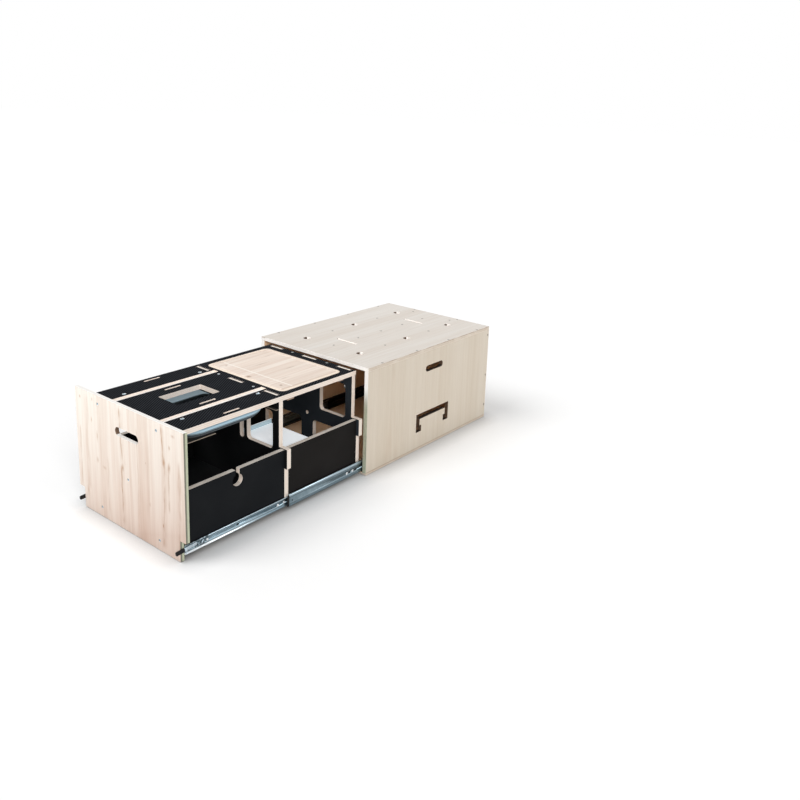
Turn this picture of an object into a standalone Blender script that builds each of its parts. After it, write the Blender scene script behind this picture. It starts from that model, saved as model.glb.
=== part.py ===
"""Camper conversion kit: a plywood case with a pull-out kitchen drawer, in metres, +Z up.

The origin is on the floor under the middle of the kit, with the drawer pulled out as it stands at rest.
+Y runs from the drawer's front panel to the back of the case, and +X is to the right of someone facing
the panel. The drawer's own sizes count from the panel's front face, and the case's from its open mouth.
"""

import math

import bmesh
import bpy
from mathutils import Matrix, Vector

# Driving dimensions of the case
CASE_WIDTH = 0.500
CASE_HEIGHT = 0.367
CASE_SIDE_PLY = 0.015
CASE_TOP_PLY = 0.012
CASE_BASE_PLY = 0.0065
CASE_BACK_PLY = 0.012

# Driving dimensions of the telescopic slides, which set how deep the case is and how far the drawer comes out
SLIDE_LENGTH = 0.680
SLIDE_OVERTRAVEL = 0.007
SLIDE_INSET = 0.003
SLIDE_END_ROOM = 0.005
SLIDE_MIDDLE_SHORTER = 0.040
SLIDE_SPACE = 0.013
SLIDE_SHEET = 0.0012
SLIDE_HEIGHT = 0.0455
SLIDE_MIDDLE_HEIGHT = 0.038
SLIDE_INNER_HEIGHT = 0.027

# Driving dimensions of the drawer
PANEL_PLY = 0.012
PANEL_CASE_GAP = 0.001
PANEL_FLOOR_GAP = 0.001
DRAWER_PLY = 0.015
DRAWER_MOUTH_GAP = 0.003
WORKTOP_TAIL = 0.002
WORKTOP_DROP = 0.017
WORKTOP_SETBACK = 0.022
SIDE_BOARD_TOP = 0.193
SIDE_BOARD_BOTTOM = 0.012
FLOOR_TOP = 0.037
MID_DIVIDER_FRONT = 0.368

# Fits shared by every piece
JOINT_GAP = 0.0003
OVERRUN = 0.002
LEVER_REACH = 0.016
CORNER_STEPS = 5
ROUND_STEPS = 24

# Places that follow from the driving dimensions
DRAWER_TRAVEL = SLIDE_LENGTH + SLIDE_OVERTRAVEL
CASE_DEPTH = SLIDE_INSET + SLIDE_LENGTH + SLIDE_END_ROOM + CASE_BACK_PLY
MOUTH = PANEL_PLY + PANEL_CASE_GAP + DRAWER_TRAVEL
DRAWER_LENGTH = MOUTH - DRAWER_MOUTH_GAP
TOTAL_LENGTH = LEVER_REACH + MOUTH + CASE_DEPTH
PANEL_Y = LEVER_REACH - TOTAL_LENGTH / 2
MOUTH_Y = PANEL_Y + MOUTH
CASE_HALF = CASE_WIDTH / 2
CASE_INNER_HALF = CASE_HALF - CASE_SIDE_PLY
DRAWER_HALF = CASE_INNER_HALF - SLIDE_SPACE
BOX_INNER_HALF = DRAWER_HALF - DRAWER_PLY
WORKTOP_HALF = DRAWER_HALF - WORKTOP_SETBACK
WORKTOP_TOP = CASE_HEIGHT - WORKTOP_DROP
WORKTOP_UNDERSIDE = WORKTOP_TOP - DRAWER_PLY
FLOOR_BOTTOM = FLOOR_TOP - DRAWER_PLY
MID_DIVIDER_BACK = MID_DIVIDER_FRONT + DRAWER_PLY
REAR_DIVIDER_BACK = DRAWER_LENGTH - WORKTOP_TAIL
REAR_DIVIDER_FRONT = REAR_DIVIDER_BACK - DRAWER_PLY
DRAWER_START = PANEL_PLY + JOINT_GAP
SLIDE_Z = CASE_BASE_PLY + JOINT_GAP + SLIDE_HEIGHT / 2
SIDES = {"left": -1, "right": 1}

# The two directions of a flat outline, and the one it is swept along, for each axis
SWEEPS = {
    "X": (Vector((0, 1, 0)), Vector((0, 0, 1)), Vector((1, 0, 0))),
    "Y": (Vector((1, 0, 0)), Vector((0, 0, 1)), Vector((0, 1, 0))),
    "Z": (Vector((1, 0, 0)), Vector((0, 1, 0)), Vector((0, 0, 1))),
}


def clear_scene():
    for old in list(bpy.data.objects):
        bpy.data.objects.remove(old, do_unlink=True)


# Outlines

def rectangle(left, low, right, high):
    return [(left, low), (right, low), (right, high), (left, high)]


def disc(across, up, radius):
    turns = [2 * math.pi * step / ROUND_STEPS for step in range(ROUND_STEPS)]
    return [(across + radius * math.cos(turn), up + radius * math.sin(turn)) for turn in turns]


def filleted(outline, radius):
    """The outline with an arc of the radius at each corner."""
    rounded = []
    for index, corner in enumerate(outline):
        here = Vector(corner)
        before = (Vector(outline[index - 1]) - here).normalized()
        after = (Vector(outline[(index + 1) % len(outline)]) - here).normalized()
        half_angle = before.angle(after) / 2
        centre = here + (before + after).normalized() * radius / math.sin(half_angle)
        start = here + before * radius / math.tan(half_angle) - centre
        end = here + after * radius / math.tan(half_angle) - centre
        sweep = start.angle_signed(end)
        for step in range(CORNER_STEPS + 1):
            turned = Matrix.Rotation(-sweep * step / CORNER_STEPS, 2) @ start
            rounded.append(tuple(centre + turned))
    return rounded


def rounded_rectangle(left, low, right, high, radius):
    return filleted(rectangle(left, low, right, high), radius)


def mirrored(outline):
    return [(-across, up) for across, up in reversed(outline)]


# Meshes and objects

def add_prism(mesh, outline, axis, low, high):
    """Adds the closed solid that the outline sweeps from low to high along the axis."""
    across, up, along = SWEEPS[axis]
    corners = [mesh.verts.new(across * u + up * v + along * low) for u, v in outline]
    base = mesh.faces.new(corners)
    swept = bmesh.ops.extrude_face_region(mesh, geom=[base])
    top = [item for item in swept["geom"] if isinstance(item, bmesh.types.BMVert)]
    bmesh.ops.translate(mesh, verts=top, vec=along * (high - low))
    bmesh.ops.recalc_face_normals(mesh, faces=mesh.faces)


def add_balls(mesh, centres, radius):
    for centre in centres:
        place = Matrix.Translation(centre)
        bmesh.ops.create_uvsphere(mesh, u_segments=8, v_segments=6, radius=radius, matrix=place)


def new_object(name, mesh, parent):
    """An object that holds the bmesh, with its origin in the middle of its shape."""
    points = [vert.co for vert in mesh.verts]
    low = Vector(min(point[axis] for point in points) for axis in range(3))
    high = Vector(max(point[axis] for point in points) for axis in range(3))
    centre = (low + high) / 2
    bmesh.ops.translate(mesh, verts=mesh.verts, vec=-centre)
    data = bpy.data.meshes.new(name)
    mesh.to_mesh(data)
    mesh.free()
    made = bpy.data.objects.new(name, data)
    made.location = centre
    made.parent = parent
    bpy.context.scene.collection.objects.link(made)
    return made


def finish(made, material):
    made.data.materials.append(material)
    made.data.shade_smooth()
    made.data.set_sharp_from_angle(angle=math.radians(30))
    return made


def solid(name, outline, axis, low, high, parent, material):
    mesh = bmesh.new()
    add_prism(mesh, outline, axis, low, high)
    return finish(new_object(name, mesh, parent), material)


def combine(made, mesh, operation, label):
    tool = new_object(f"{made.name}_{label}", mesh, made.parent)
    tool.hide_render = True
    tool.display_type = "WIRE"
    boolean = made.modifiers.new(label, "BOOLEAN")
    boolean.operation = operation
    boolean.solver = "EXACT"
    boolean.object = tool


def cut(made, outlines, axis, low, high, label):
    """Cuts outlines that don't touch one another out of the object, from low to high along the axis."""
    mesh = bmesh.new()
    for outline in outlines:
        add_prism(mesh, outline, axis, low, high)
    combine(made, mesh, "DIFFERENCE", label)


def body(name, location, parent=None):
    """An empty that carries the pieces that move together."""
    empty = bpy.data.objects.new(name, None)
    empty.location = location
    empty.parent = parent
    bpy.context.scene.collection.objects.link(empty)
    return empty


def finish_of(name, colour, roughness, metallic=0.0):
    material = bpy.data.materials.new(name)
    material.use_nodes = True
    shader = material.node_tree.nodes["Principled BSDF"]
    shader.inputs["Base Color"].default_value = (*colour, 1.0)
    shader.inputs["Roughness"].default_value = roughness
    shader.inputs["Metallic"].default_value = metallic
    return material


# Case: base, sides, top and back

HAND_SLOT_START = 0.3045
HAND_SLOT_LENGTH = 0.0995
HAND_SLOT_HEIGHT = 0.022
HAND_SLOT_DROP = 0.076
HAND_SLOT_Z = CASE_HEIGHT - HAND_SLOT_DROP
STRAP_SLOT_START = 0.261
STRAP_SLOT_SPAN = 0.189
STRAP_SLOT_TOP = 0.1336
STRAP_SLOT_BOTTOM = 0.067
STRAP_SLOT_WIDTH = 0.020
STRAP_FOOT_WIDTH = 0.030
STRAP_FOOT_TOP = 0.090
STRAP_CORNER = 0.0015
DECK_HOLE_RADIUS = 0.0125
DECK_HOLE_X = CASE_HALF / 2
DECK_HOLE_FIRST = 0.100
DECK_HOLE_ROWS = 3
DECK_HOLE_PITCH = (CASE_DEPTH - 2 * DECK_HOLE_FIRST) / (DECK_HOLE_ROWS - 1)
DECK_SLOT_HALF = 0.045
DECK_SLOT_WIDTH = 0.007
DECK_SLOT_FIRST = 0.170
DECK_SLOT_PITCH = 0.377
DECK_SLOT_ROWS = 2


def strap_slot():
    """A gate-shaped slot: a level bar with two legs, whose feet widen inwards."""
    near = STRAP_SLOT_START
    far = near + STRAP_SLOT_SPAN
    inside = STRAP_SLOT_TOP - STRAP_SLOT_WIDTH
    outline = [
        (near, STRAP_SLOT_BOTTOM),
        (near, STRAP_SLOT_TOP),
        (far, STRAP_SLOT_TOP),
        (far, STRAP_SLOT_BOTTOM),
        (far - STRAP_FOOT_WIDTH, STRAP_SLOT_BOTTOM),
        (far - STRAP_FOOT_WIDTH, STRAP_FOOT_TOP),
        (far - STRAP_SLOT_WIDTH, STRAP_FOOT_TOP),
        (far - STRAP_SLOT_WIDTH, inside),
        (near + STRAP_SLOT_WIDTH, inside),
        (near + STRAP_SLOT_WIDTH, STRAP_FOOT_TOP),
        (near + STRAP_FOOT_WIDTH, STRAP_FOOT_TOP),
        (near + STRAP_FOOT_WIDTH, STRAP_SLOT_BOTTOM),
    ]
    return filleted(outline, STRAP_CORNER)


def build_case_sides(case, wood):
    low = CASE_BASE_PLY + JOINT_GAP
    high = CASE_HEIGHT - CASE_TOP_PLY - JOINT_GAP
    hand_slot = rounded_rectangle(
        HAND_SLOT_START,
        HAND_SLOT_Z - HAND_SLOT_HEIGHT / 2,
        HAND_SLOT_START + HAND_SLOT_LENGTH,
        HAND_SLOT_Z + HAND_SLOT_HEIGHT / 2,
        HAND_SLOT_HEIGHT / 2 - JOINT_GAP,
    )
    for name, side in SIDES.items():
        outline = rectangle(0, low, CASE_DEPTH, high)
        inner = side * CASE_INNER_HALF
        outer = side * CASE_HALF
        board = solid(f"case_side_{name}", outline, "X", inner, outer, case, wood)
        start = inner - side * OVERRUN
        end = outer + side * OVERRUN
        cut(board, [hand_slot, strap_slot()], "X", start, end, "slots")


def build_case_top(case, wood):
    outline = rectangle(-CASE_HALF, 0, CASE_HALF, CASE_DEPTH)
    low = CASE_HEIGHT - CASE_TOP_PLY
    deck = solid("case_top", outline, "Z", low, CASE_HEIGHT, case, wood)
    openings = []
    for row in range(DECK_HOLE_ROWS):
        along = DECK_HOLE_FIRST + row * DECK_HOLE_PITCH
        openings += [disc(side * DECK_HOLE_X, along, DECK_HOLE_RADIUS) for side in SIDES.values()]
    for row in range(DECK_SLOT_ROWS):
        near = DECK_SLOT_FIRST + row * DECK_SLOT_PITCH - DECK_SLOT_WIDTH / 2
        far = near + DECK_SLOT_WIDTH
        radius = DECK_SLOT_WIDTH / 2 - JOINT_GAP
        openings.append(rounded_rectangle(-DECK_SLOT_HALF, near, DECK_SLOT_HALF, far, radius))
    cut(deck, openings, "Z", low - OVERRUN, CASE_HEIGHT + OVERRUN, "openings")


def build_case(case, wood):
    base = rectangle(-CASE_HALF, 0, CASE_HALF, CASE_DEPTH)
    solid("case_base", base, "Z", 0, CASE_BASE_PLY, case, wood)
    build_case_sides(case, wood)
    build_case_top(case, wood)
    half = CASE_INNER_HALF - JOINT_GAP
    low = CASE_BASE_PLY + JOINT_GAP
    high = CASE_HEIGHT - CASE_TOP_PLY - JOINT_GAP
    back = rectangle(-half, low, half, high)
    solid("case_back", back, "Y", CASE_DEPTH - CASE_BACK_PLY, CASE_DEPTH, case, wood)


# Telescopic slides: outer, middle and inner members, ball cages and bumpers

SLIDE_MIDDLE_LENGTH = SLIDE_LENGTH - SLIDE_MIDDLE_SHORTER
SLIDE_LIP_TO_BOARD = 0.0022
SLIDE_INNER_LIP = 0.0062
SLIDE_MIDDLE_BACK = 0.0092
CAGE_SHEET = 0.0006
CAGE_END_CLEARANCE = 0.007
CAGE_BALLS = 5
OUTER_CAGE_CLEARANCE = 0.0007
INNER_CAGE_CLEARANCE = 0.0006
BUMPER_THICKNESS = 0.0023
BUMPER_LENGTH = 0.007
BUMPER_HEIGHT = 0.034


def channel(side, web, lip, half_height, sheet):
    """A C-section across X and Z: its web is at one distance from the drawer, and its lips end at another."""
    toward = 1 if lip > web else -1
    inside = web + toward * sheet
    low = SLIDE_Z - half_height
    high = SLIDE_Z + half_height
    section = [
        (web, low),
        (lip, low),
        (lip, low + sheet),
        (inside, low + sheet),
        (inside, high - sheet),
        (lip, high - sheet),
        (lip, high),
        (web, high),
    ]
    return [(side * (DRAWER_HALF + out), up) for out, up in section]


def build_slide_outer(case, steel):
    for name, side in SIDES.items():
        web = SLIDE_SPACE - JOINT_GAP
        section = channel(side, web, SLIDE_LIP_TO_BOARD, SLIDE_HEIGHT / 2, SLIDE_SHEET)
        end = SLIDE_INSET + SLIDE_LENGTH
        solid(f"slide_outer_{name}", section, "Y", SLIDE_INSET, end, case, steel)


def build_slide_inner(drawer, steel):
    for name, side in SIDES.items():
        half_height = SLIDE_INNER_HEIGHT / 2
        section = channel(side, JOINT_GAP, SLIDE_INNER_LIP, half_height, SLIDE_SHEET)
        start = MOUTH - DRAWER_TRAVEL
        solid(f"slide_inner_{name}", section, "Y", start, start + SLIDE_LENGTH, drawer, steel)


def middle_start():
    """Where the middle member begins, from the case's mouth: level with the outer one, less half the travel."""
    return SLIDE_INSET + SLIDE_MIDDLE_SHORTER / 2 + JOINT_GAP - DRAWER_TRAVEL / 2


def build_slide_middle(name, side, middle, steel, plastic):
    start = middle_start()
    half_height = SLIDE_MIDDLE_HEIGHT / 2
    section = channel(side, SLIDE_MIDDLE_BACK, SLIDE_LIP_TO_BOARD, half_height, SLIDE_SHEET)
    end = start + SLIDE_MIDDLE_LENGTH
    solid(f"slide_middle_{name}", section, "Y", start, end, middle, steel)
    outer = side * (DRAWER_HALF + SLIDE_MIDDLE_BACK)
    inner = outer - side * BUMPER_THICKNESS
    low = SLIDE_Z - BUMPER_HEIGHT / 2
    high = SLIDE_Z + BUMPER_HEIGHT / 2
    outline = rectangle(inner, low, outer, high)
    back = start - JOINT_GAP
    solid(f"slide_bumper_{name}", outline, "Y", back - BUMPER_LENGTH, back, middle, plastic)


def build_ball_cage(name, side, web, lip, track, overlap, cage, steel):
    """A C-shaped strip that holds two rows of balls, which run between two members' lips.

    The track gives the half heights of the two running faces, from the smaller to the larger, and the
    overlap gives where the two members overlap along the drawer.
    """
    middle = sum(track) / 2
    radius = (track[1] - track[0]) / 2 - JOINT_GAP
    section = channel(side, web, lip, middle + CAGE_SHEET / 2, CAGE_SHEET)
    start = overlap[0] + CAGE_END_CLEARANCE
    length = overlap[1] - CAGE_END_CLEARANCE - start
    strip = solid(f"ball_cage_{name}", section, "Y", start, start + length, cage, steel)
    room = abs(lip - web) - CAGE_SHEET
    ball_x = side * (DRAWER_HALF + (web + lip) / 2)
    pitch = length / CAGE_BALLS
    centres = []
    for row in (-1, 1):
        for index in range(CAGE_BALLS):
            along = start + pitch * (index + 1 / 2)
            centres.append(Vector((ball_x, along, SLIDE_Z + row * middle)))
    mesh = bmesh.new()
    add_balls(mesh, centres, min(radius, room / 2))
    combine(strip, mesh, "UNION", "balls")


def build_slides(case, steel, cage_steel, plastic):
    """The middle members and ball cages, each under an empty of its own."""
    start = middle_start()
    for name, side in SIDES.items():
        middle = body(f"slide_middle_{name}_body", (0, 0, 0), case)
        build_slide_middle(name, side, middle, steel, plastic)

        outer_cage = body(f"outer_cage_{name}_body", (0, 0, 0), case)
        web = SLIDE_SPACE - JOINT_GAP - SLIDE_SHEET - OUTER_CAGE_CLEARANCE
        lip = (SLIDE_LIP_TO_BOARD + SLIDE_MIDDLE_BACK) / 2
        track = (SLIDE_MIDDLE_HEIGHT / 2, SLIDE_HEIGHT / 2 - SLIDE_SHEET)
        overlap = (SLIDE_INSET, start + SLIDE_MIDDLE_LENGTH)
        build_ball_cage(f"outer_{name}", side, web, lip, track, overlap, outer_cage, cage_steel)

        inner_cage = body(f"inner_cage_{name}_body", (0, 0, 0), middle)
        web = SLIDE_MIDDLE_BACK - SLIDE_SHEET - INNER_CAGE_CLEARANCE
        track = (SLIDE_INNER_HEIGHT / 2, SLIDE_MIDDLE_HEIGHT / 2 - SLIDE_SHEET)
        overlap = (start, SLIDE_LENGTH - DRAWER_TRAVEL)
        lip = SLIDE_LIP_TO_BOARD + SLIDE_SHEET
        build_ball_cage(f"inner_{name}", side, web, lip, track, overlap, inner_cage, cage_steel)


# Screws

SCREW_HEAD_RADIUS = 0.004
SCREW_HEAD_DEPTH = 0.0025
SCREW_SHANK_RADIUS = 0.002
SCREW_RECESS = 0.0004
PANEL_SCREW_LENGTH = 0.035
SHORT_SCREW_LENGTH = 0.0255
WORKTOP_SCREW_LENGTH = 0.040


def screw(name, axis, across, up, face, inward, length, parent, steel):
    """A screw whose head lies just below a face, with its shank going in along the axis."""
    mesh = bmesh.new()
    top = face + inward * SCREW_RECESS
    neck = top + inward * SCREW_HEAD_DEPTH
    tip = face + inward * length
    add_prism(mesh, disc(across, up, SCREW_HEAD_RADIUS), axis, top, neck)
    made = finish(new_object(name, mesh, parent), steel)
    mesh = bmesh.new()
    add_prism(mesh, disc(across, up, SCREW_SHANK_RADIUS), axis, top + inward * SCREW_RECESS, tip)
    combine(made, mesh, "UNION", "shank")


def head_recesses(made, places, axis, face, inward):
    bottom = face + inward * (SCREW_RECESS + SCREW_HEAD_DEPTH + JOINT_GAP)
    outlines = [disc(across, up, SCREW_HEAD_RADIUS + JOINT_GAP) for across, up in places]
    cut(made, outlines, axis, face - inward * OVERRUN, bottom, "head_recesses")


def shank_holes(made, places, axis, start, end, label):
    outlines = [disc(across, up, SCREW_SHANK_RADIUS + JOINT_GAP) for across, up in places]
    cut(made, outlines, axis, start, end, label)


# Front panel

HAND_HOLE_WIDTH = 0.107
HAND_HOLE_HEIGHT = 0.026
HAND_HOLE_DROP = 0.079
HAND_HOLE_Z = CASE_HEIGHT - HAND_HOLE_DROP
NOTCH_WIDTH = 0.025
NOTCH_TOP = 0.062
NOTCH_CORNER = 0.002
PANEL_SCREW_X = 0.136
PANEL_MIDDLE_SCREW_Z = 0.159
PANEL_HIGH_SCREWS = [(side * PANEL_SCREW_X, WORKTOP_TOP - DRAWER_PLY / 2) for side in SIDES.values()]
PANEL_LOW_SCREWS = [(side * PANEL_SCREW_X, FLOOR_TOP - DRAWER_PLY / 2) for side in SIDES.values()]
PANEL_MIDDLE_SCREWS = [(0, PANEL_MIDDLE_SCREW_Z)]


def build_front_panel(drawer, wood, steel):
    outline = rectangle(-CASE_HALF, PANEL_FLOOR_GAP, CASE_HALF, CASE_HEIGHT)
    panel = solid("front_panel", outline, "Y", 0, PANEL_PLY, drawer, wood)
    hand_hole = rounded_rectangle(
        -HAND_HOLE_WIDTH / 2,
        HAND_HOLE_Z - HAND_HOLE_HEIGHT / 2,
        HAND_HOLE_WIDTH / 2,
        HAND_HOLE_Z + HAND_HOLE_HEIGHT / 2,
        HAND_HOLE_HEIGHT / 2 - JOINT_GAP,
    )
    notch_start = CASE_HALF - NOTCH_WIDTH
    notch = rounded_rectangle(notch_start, -NOTCH_TOP, CASE_HALF + NOTCH_WIDTH, NOTCH_TOP, NOTCH_CORNER)
    openings = [hand_hole, notch, mirrored(notch)]
    cut(panel, openings, "Y", -OVERRUN, PANEL_PLY + OVERRUN, "openings")
    screws = PANEL_HIGH_SCREWS + PANEL_LOW_SCREWS + PANEL_MIDDLE_SCREWS
    head_recesses(panel, screws, "Y", 0, 1)
    shank_holes(panel, screws, "Y", -OVERRUN, PANEL_PLY + OVERRUN, "shank_holes")
    names = ["high_left", "high_right", "low_left", "low_right", "middle"]
    for name, (across, up) in zip(names, screws):
        length = SHORT_SCREW_LENGTH if name == "middle" else PANEL_SCREW_LENGTH
        screw(f"panel_screw_{name}", "Y", across, up, 0, 1, length, drawer, steel)


# Drawer dividers, floor and side boards

WORKTOP_OVERHANG = 0.0013
EAR_CLEARANCE = 0.002
EAR_RISE = 0.002
EAR_HEIGHT = 0.061
TENON_EDGE = 0.015
TENON_LENGTH = 0.055
UPRIGHT_WIDTH = 0.0267
DIVIDER_HEAD = 0.035
UPRIGHT_HALF = WORKTOP_HALF - WORKTOP_OVERHANG
EAR_HALF = CASE_INNER_HALF - EAR_CLEARANCE
EAR_TOP = SIDE_BOARD_TOP + EAR_RISE
EAR_BOTTOM = EAR_TOP - EAR_HEIGHT
TENON_MIDDLE_HALF = 0.030
TENON_SIDE_END = WORKTOP_HALF - TENON_EDGE
TENON_SIDE_START = TENON_SIDE_END - TENON_LENGTH
WORKTOP_SCREW_X = (TENON_MIDDLE_HALF + TENON_SIDE_START) / 2
DIVIDER_CORNER = 0.012
MID_OPENING_START = 0.058
MID_OPENING_END = UPRIGHT_HALF - UPRIGHT_WIDTH
MID_OPENING_BOTTOM = 0.181
MID_OPENING_TOP = WORKTOP_UNDERSIDE - DIVIDER_HEAD
MID_SLOT_START = 0.026
MID_SLOT_END = 0.045
MID_SLOT_BOTTOM = 0.180
REAR_OPENING_BOTTOM = 0.185
REAR_BAR_BOTTOM = 0.139
REAR_FOOT_HALF = 0.027
REAR_HOLE_RADIUS = 0.0065
REAR_HOLE_Z = 0.159
FRONT_UPRIGHT_WIDTH = 0.0687
FRONT_WINDOW_HALF = UPRIGHT_HALF - FRONT_UPRIGHT_WIDTH
FINGER_NOTCH_Y = 0.194
FINGER_NOTCH_Z = 0.162
FINGER_NOTCH_RADIUS = 0.0175
FINGER_SLOT_WIDTH = 0.0142


def divider_outline(bottom):
    """Half of a divider across X and Z, from its foot up to the tenons that pass through the worktop."""
    seat = WORKTOP_UNDERSIDE - JOINT_GAP
    tenon_top = WORKTOP_TOP - JOINT_GAP
    return [
        (DRAWER_HALF, bottom),
        (DRAWER_HALF, EAR_BOTTOM),
        (EAR_HALF, EAR_BOTTOM),
        (EAR_HALF, EAR_TOP),
        (UPRIGHT_HALF, EAR_TOP),
        (UPRIGHT_HALF, seat),
        (TENON_SIDE_END, seat),
        (TENON_SIDE_END, tenon_top),
        (TENON_SIDE_START, tenon_top),
        (TENON_SIDE_START, seat),
        (TENON_MIDDLE_HALF, seat),
        (TENON_MIDDLE_HALF, tenon_top),
    ]


def divider(name, bottom, back, drawer, board_black):
    """A cross board with ears over the side boards and three tenons through the worktop."""
    half = divider_outline(bottom)
    outline = half + mirrored(half)
    board = solid(name, outline, "Y", back - DRAWER_PLY, back, drawer, board_black)
    places = [(side * WORKTOP_SCREW_X, back - DRAWER_PLY / 2) for side in SIDES.values()]
    tip = WORKTOP_TOP - WORKTOP_SCREW_LENGTH - JOINT_GAP
    shank_holes(board, places, "Z", tip, WORKTOP_TOP, "screw_holes")
    return board


def build_mid_divider(drawer, board_black):
    back = MID_DIVIDER_BACK
    board = divider("mid_divider", FLOOR_TOP + JOINT_GAP, back, drawer, board_black)
    opening = rounded_rectangle(
        MID_OPENING_START, MID_OPENING_BOTTOM, MID_OPENING_END, MID_OPENING_TOP, DIVIDER_CORNER
    )
    slot_radius = (MID_SLOT_END - MID_SLOT_START) / 2 - JOINT_GAP
    slot = rounded_rectangle(MID_SLOT_START, MID_SLOT_BOTTOM, MID_SLOT_END, MID_OPENING_TOP, slot_radius)
    start = back - DRAWER_PLY - OVERRUN
    cut(board, [opening, slot], "Y", start, back + OVERRUN, "openings")


def build_rear_divider(drawer, board_black):
    back = REAR_DIVIDER_BACK
    board = divider("rear_divider", FLOOR_TOP + JOINT_GAP, back, drawer, board_black)
    start = back - DRAWER_PLY - OVERRUN
    end = back + OVERRUN
    opening = rounded_rectangle(
        MID_OPENING_START, REAR_OPENING_BOTTOM, MID_OPENING_END, MID_OPENING_TOP, DIVIDER_CORNER
    )
    lower = rounded_rectangle(
        REAR_FOOT_HALF, -REAR_BAR_BOTTOM, EAR_HALF + DIVIDER_CORNER, REAR_BAR_BOTTOM, DIVIDER_CORNER
    )
    hole = disc(0, REAR_HOLE_Z, REAR_HOLE_RADIUS)
    cut(board, [opening, hole, lower, mirrored(lower)], "Y", start, end, "openings")


def build_front_divider(drawer, board_black):
    """The board behind the panel: low in the middle, so a hand can reach through, and high at the sides."""
    half = BOX_INNER_HALF - JOINT_GAP
    seat = WORKTOP_UNDERSIDE - JOINT_GAP
    right = [
        (half, FLOOR_TOP + JOINT_GAP),
        (half, SIDE_BOARD_TOP),
        (UPRIGHT_HALF, SIDE_BOARD_TOP),
        (UPRIGHT_HALF, seat),
        (FRONT_WINDOW_HALF, seat),
        (FRONT_WINDOW_HALF, SIDE_BOARD_TOP),
    ]
    outline = right + mirrored(right)
    end = DRAWER_START + DRAWER_PLY
    board = solid("front_divider", outline, "Y", DRAWER_START, end, drawer, board_black)
    tip = SHORT_SCREW_LENGTH + JOINT_GAP
    shank_holes(board, PANEL_MIDDLE_SCREWS, "Y", 0, tip, "screw_hole")


def build_side_boards(drawer, board_black):
    spans = {
        "front": (DRAWER_START, MID_DIVIDER_FRONT - JOINT_GAP),
        "rear": (MID_DIVIDER_BACK + JOINT_GAP, REAR_DIVIDER_FRONT - JOINT_GAP),
    }
    notch = disc(FINGER_NOTCH_Y, FINGER_NOTCH_Z, FINGER_NOTCH_RADIUS)
    near = FINGER_NOTCH_Y - FINGER_SLOT_WIDTH / 2
    slot = rectangle(near, FINGER_NOTCH_Z, near + FINGER_SLOT_WIDTH, SIDE_BOARD_TOP + OVERRUN)
    for name, side in SIDES.items():
        inner = side * BOX_INNER_HALF
        outer = side * DRAWER_HALF
        for place, (start, end) in spans.items():
            outline = rectangle(start, SIDE_BOARD_BOTTOM, end, SIDE_BOARD_TOP)
            board = solid(f"side_board_{place}_{name}", outline, "X", inner, outer, drawer, board_black)
            if place == "front":
                low = inner - side * OVERRUN
                high = outer + side * OVERRUN
                cut(board, [notch], "X", low, high, "finger_hole")
                cut(board, [slot], "X", low, high, "finger_slot")


def build_drawer_floor(drawer, board_black):
    half = BOX_INNER_HALF - JOINT_GAP
    outline = rectangle(-half, DRAWER_START, half, REAR_DIVIDER_BACK)
    floor = solid("drawer_floor", outline, "Z", FLOOR_BOTTOM, FLOOR_TOP, drawer, board_black)
    tip = PANEL_SCREW_LENGTH + JOINT_GAP
    shank_holes(floor, PANEL_LOW_SCREWS, "Y", 0, tip, "screw_holes")


# Shelf behind the mid divider

SHELF_TOP = 0.175
SHELF_PLY = 0.012
SHELF_START_X = 0.013
SHELF_DEPTH = 0.125
SHELF_LIP_HEIGHT = 0.015
SHELF_LIP_SHEET = 0.003


def build_shelf(drawer, white):
    end = BOX_INNER_HALF - JOINT_GAP
    bottom = SHELF_TOP - SHELF_PLY
    lip_top = SHELF_TOP + SHELF_LIP_HEIGHT
    lip_start = SHELF_START_X - SHELF_LIP_SHEET
    section = [
        (lip_start, bottom),
        (end, bottom),
        (end, SHELF_TOP),
        (SHELF_START_X, SHELF_TOP),
        (SHELF_START_X, lip_top),
        (lip_start, lip_top),
    ]
    start = MID_DIVIDER_BACK + JOINT_GAP
    solid("shelf", section, "Y", start, start + SHELF_DEPTH, drawer, white)


# Worktop, its inserts and screws, and the battens under the cutting board

WORKTOP_HOLE = (-0.046, 0.134, 0.044, 0.280)
WORKTOP_HOLE_CORNER = 0.004
GROOVE_X = 0.110
GROOVE_WIDTH = 0.020
GROOVE_DEPTH = 0.006
GROOVE_PAST_DIVIDER = 0.007
GROOVE_END = MID_DIVIDER_BACK + GROOVE_PAST_DIVIDER
STRAP_HOLE_INNER_X = 0.080
STRAP_HOLE_EDGE = 0.017
STRAP_HOLE_XS = (STRAP_HOLE_INNER_X, WORKTOP_HALF - STRAP_HOLE_EDGE)
STRAP_HOLE_WIDTH = 0.007
STRAP_HOLE_START = 0.180
STRAP_HOLE_END = 0.235
BOARD_SIDE_BORDER = 0.025
BOARD_FRONT_BORDER = 0.020
BOARD_REAR_BORDER = 0.023
BOARD_WIDTH = 2 * (WORKTOP_HALF - BOARD_SIDE_BORDER)
BOARD_START = MID_DIVIDER_BACK + BOARD_FRONT_BORDER
BOARD_DEPTH = REAR_DIVIDER_FRONT - BOARD_REAR_BORDER - BOARD_START
BOARD_CORNER = 0.018
BOARD_CLEARANCE = 0.0015
INSERT_X = 0.134
INSERT_FIRST = 0.0827
INSERT_TO_DIVIDER = 0.022
INSERT_SECOND = MID_DIVIDER_FRONT - INSERT_TO_DIVIDER
INSERT_RADIUS = 0.0055
INSERT_BORE = 0.003
INSERT_LENGTH = 0.012
BATTEN_WIDTH = 0.026
BATTEN_HEIGHT = 0.022
BATTEN_SETBACK = 0.010
BATTEN_HALF = WORKTOP_HALF - BATTEN_SETBACK
BATTEN_INSET = 0.007


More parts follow.
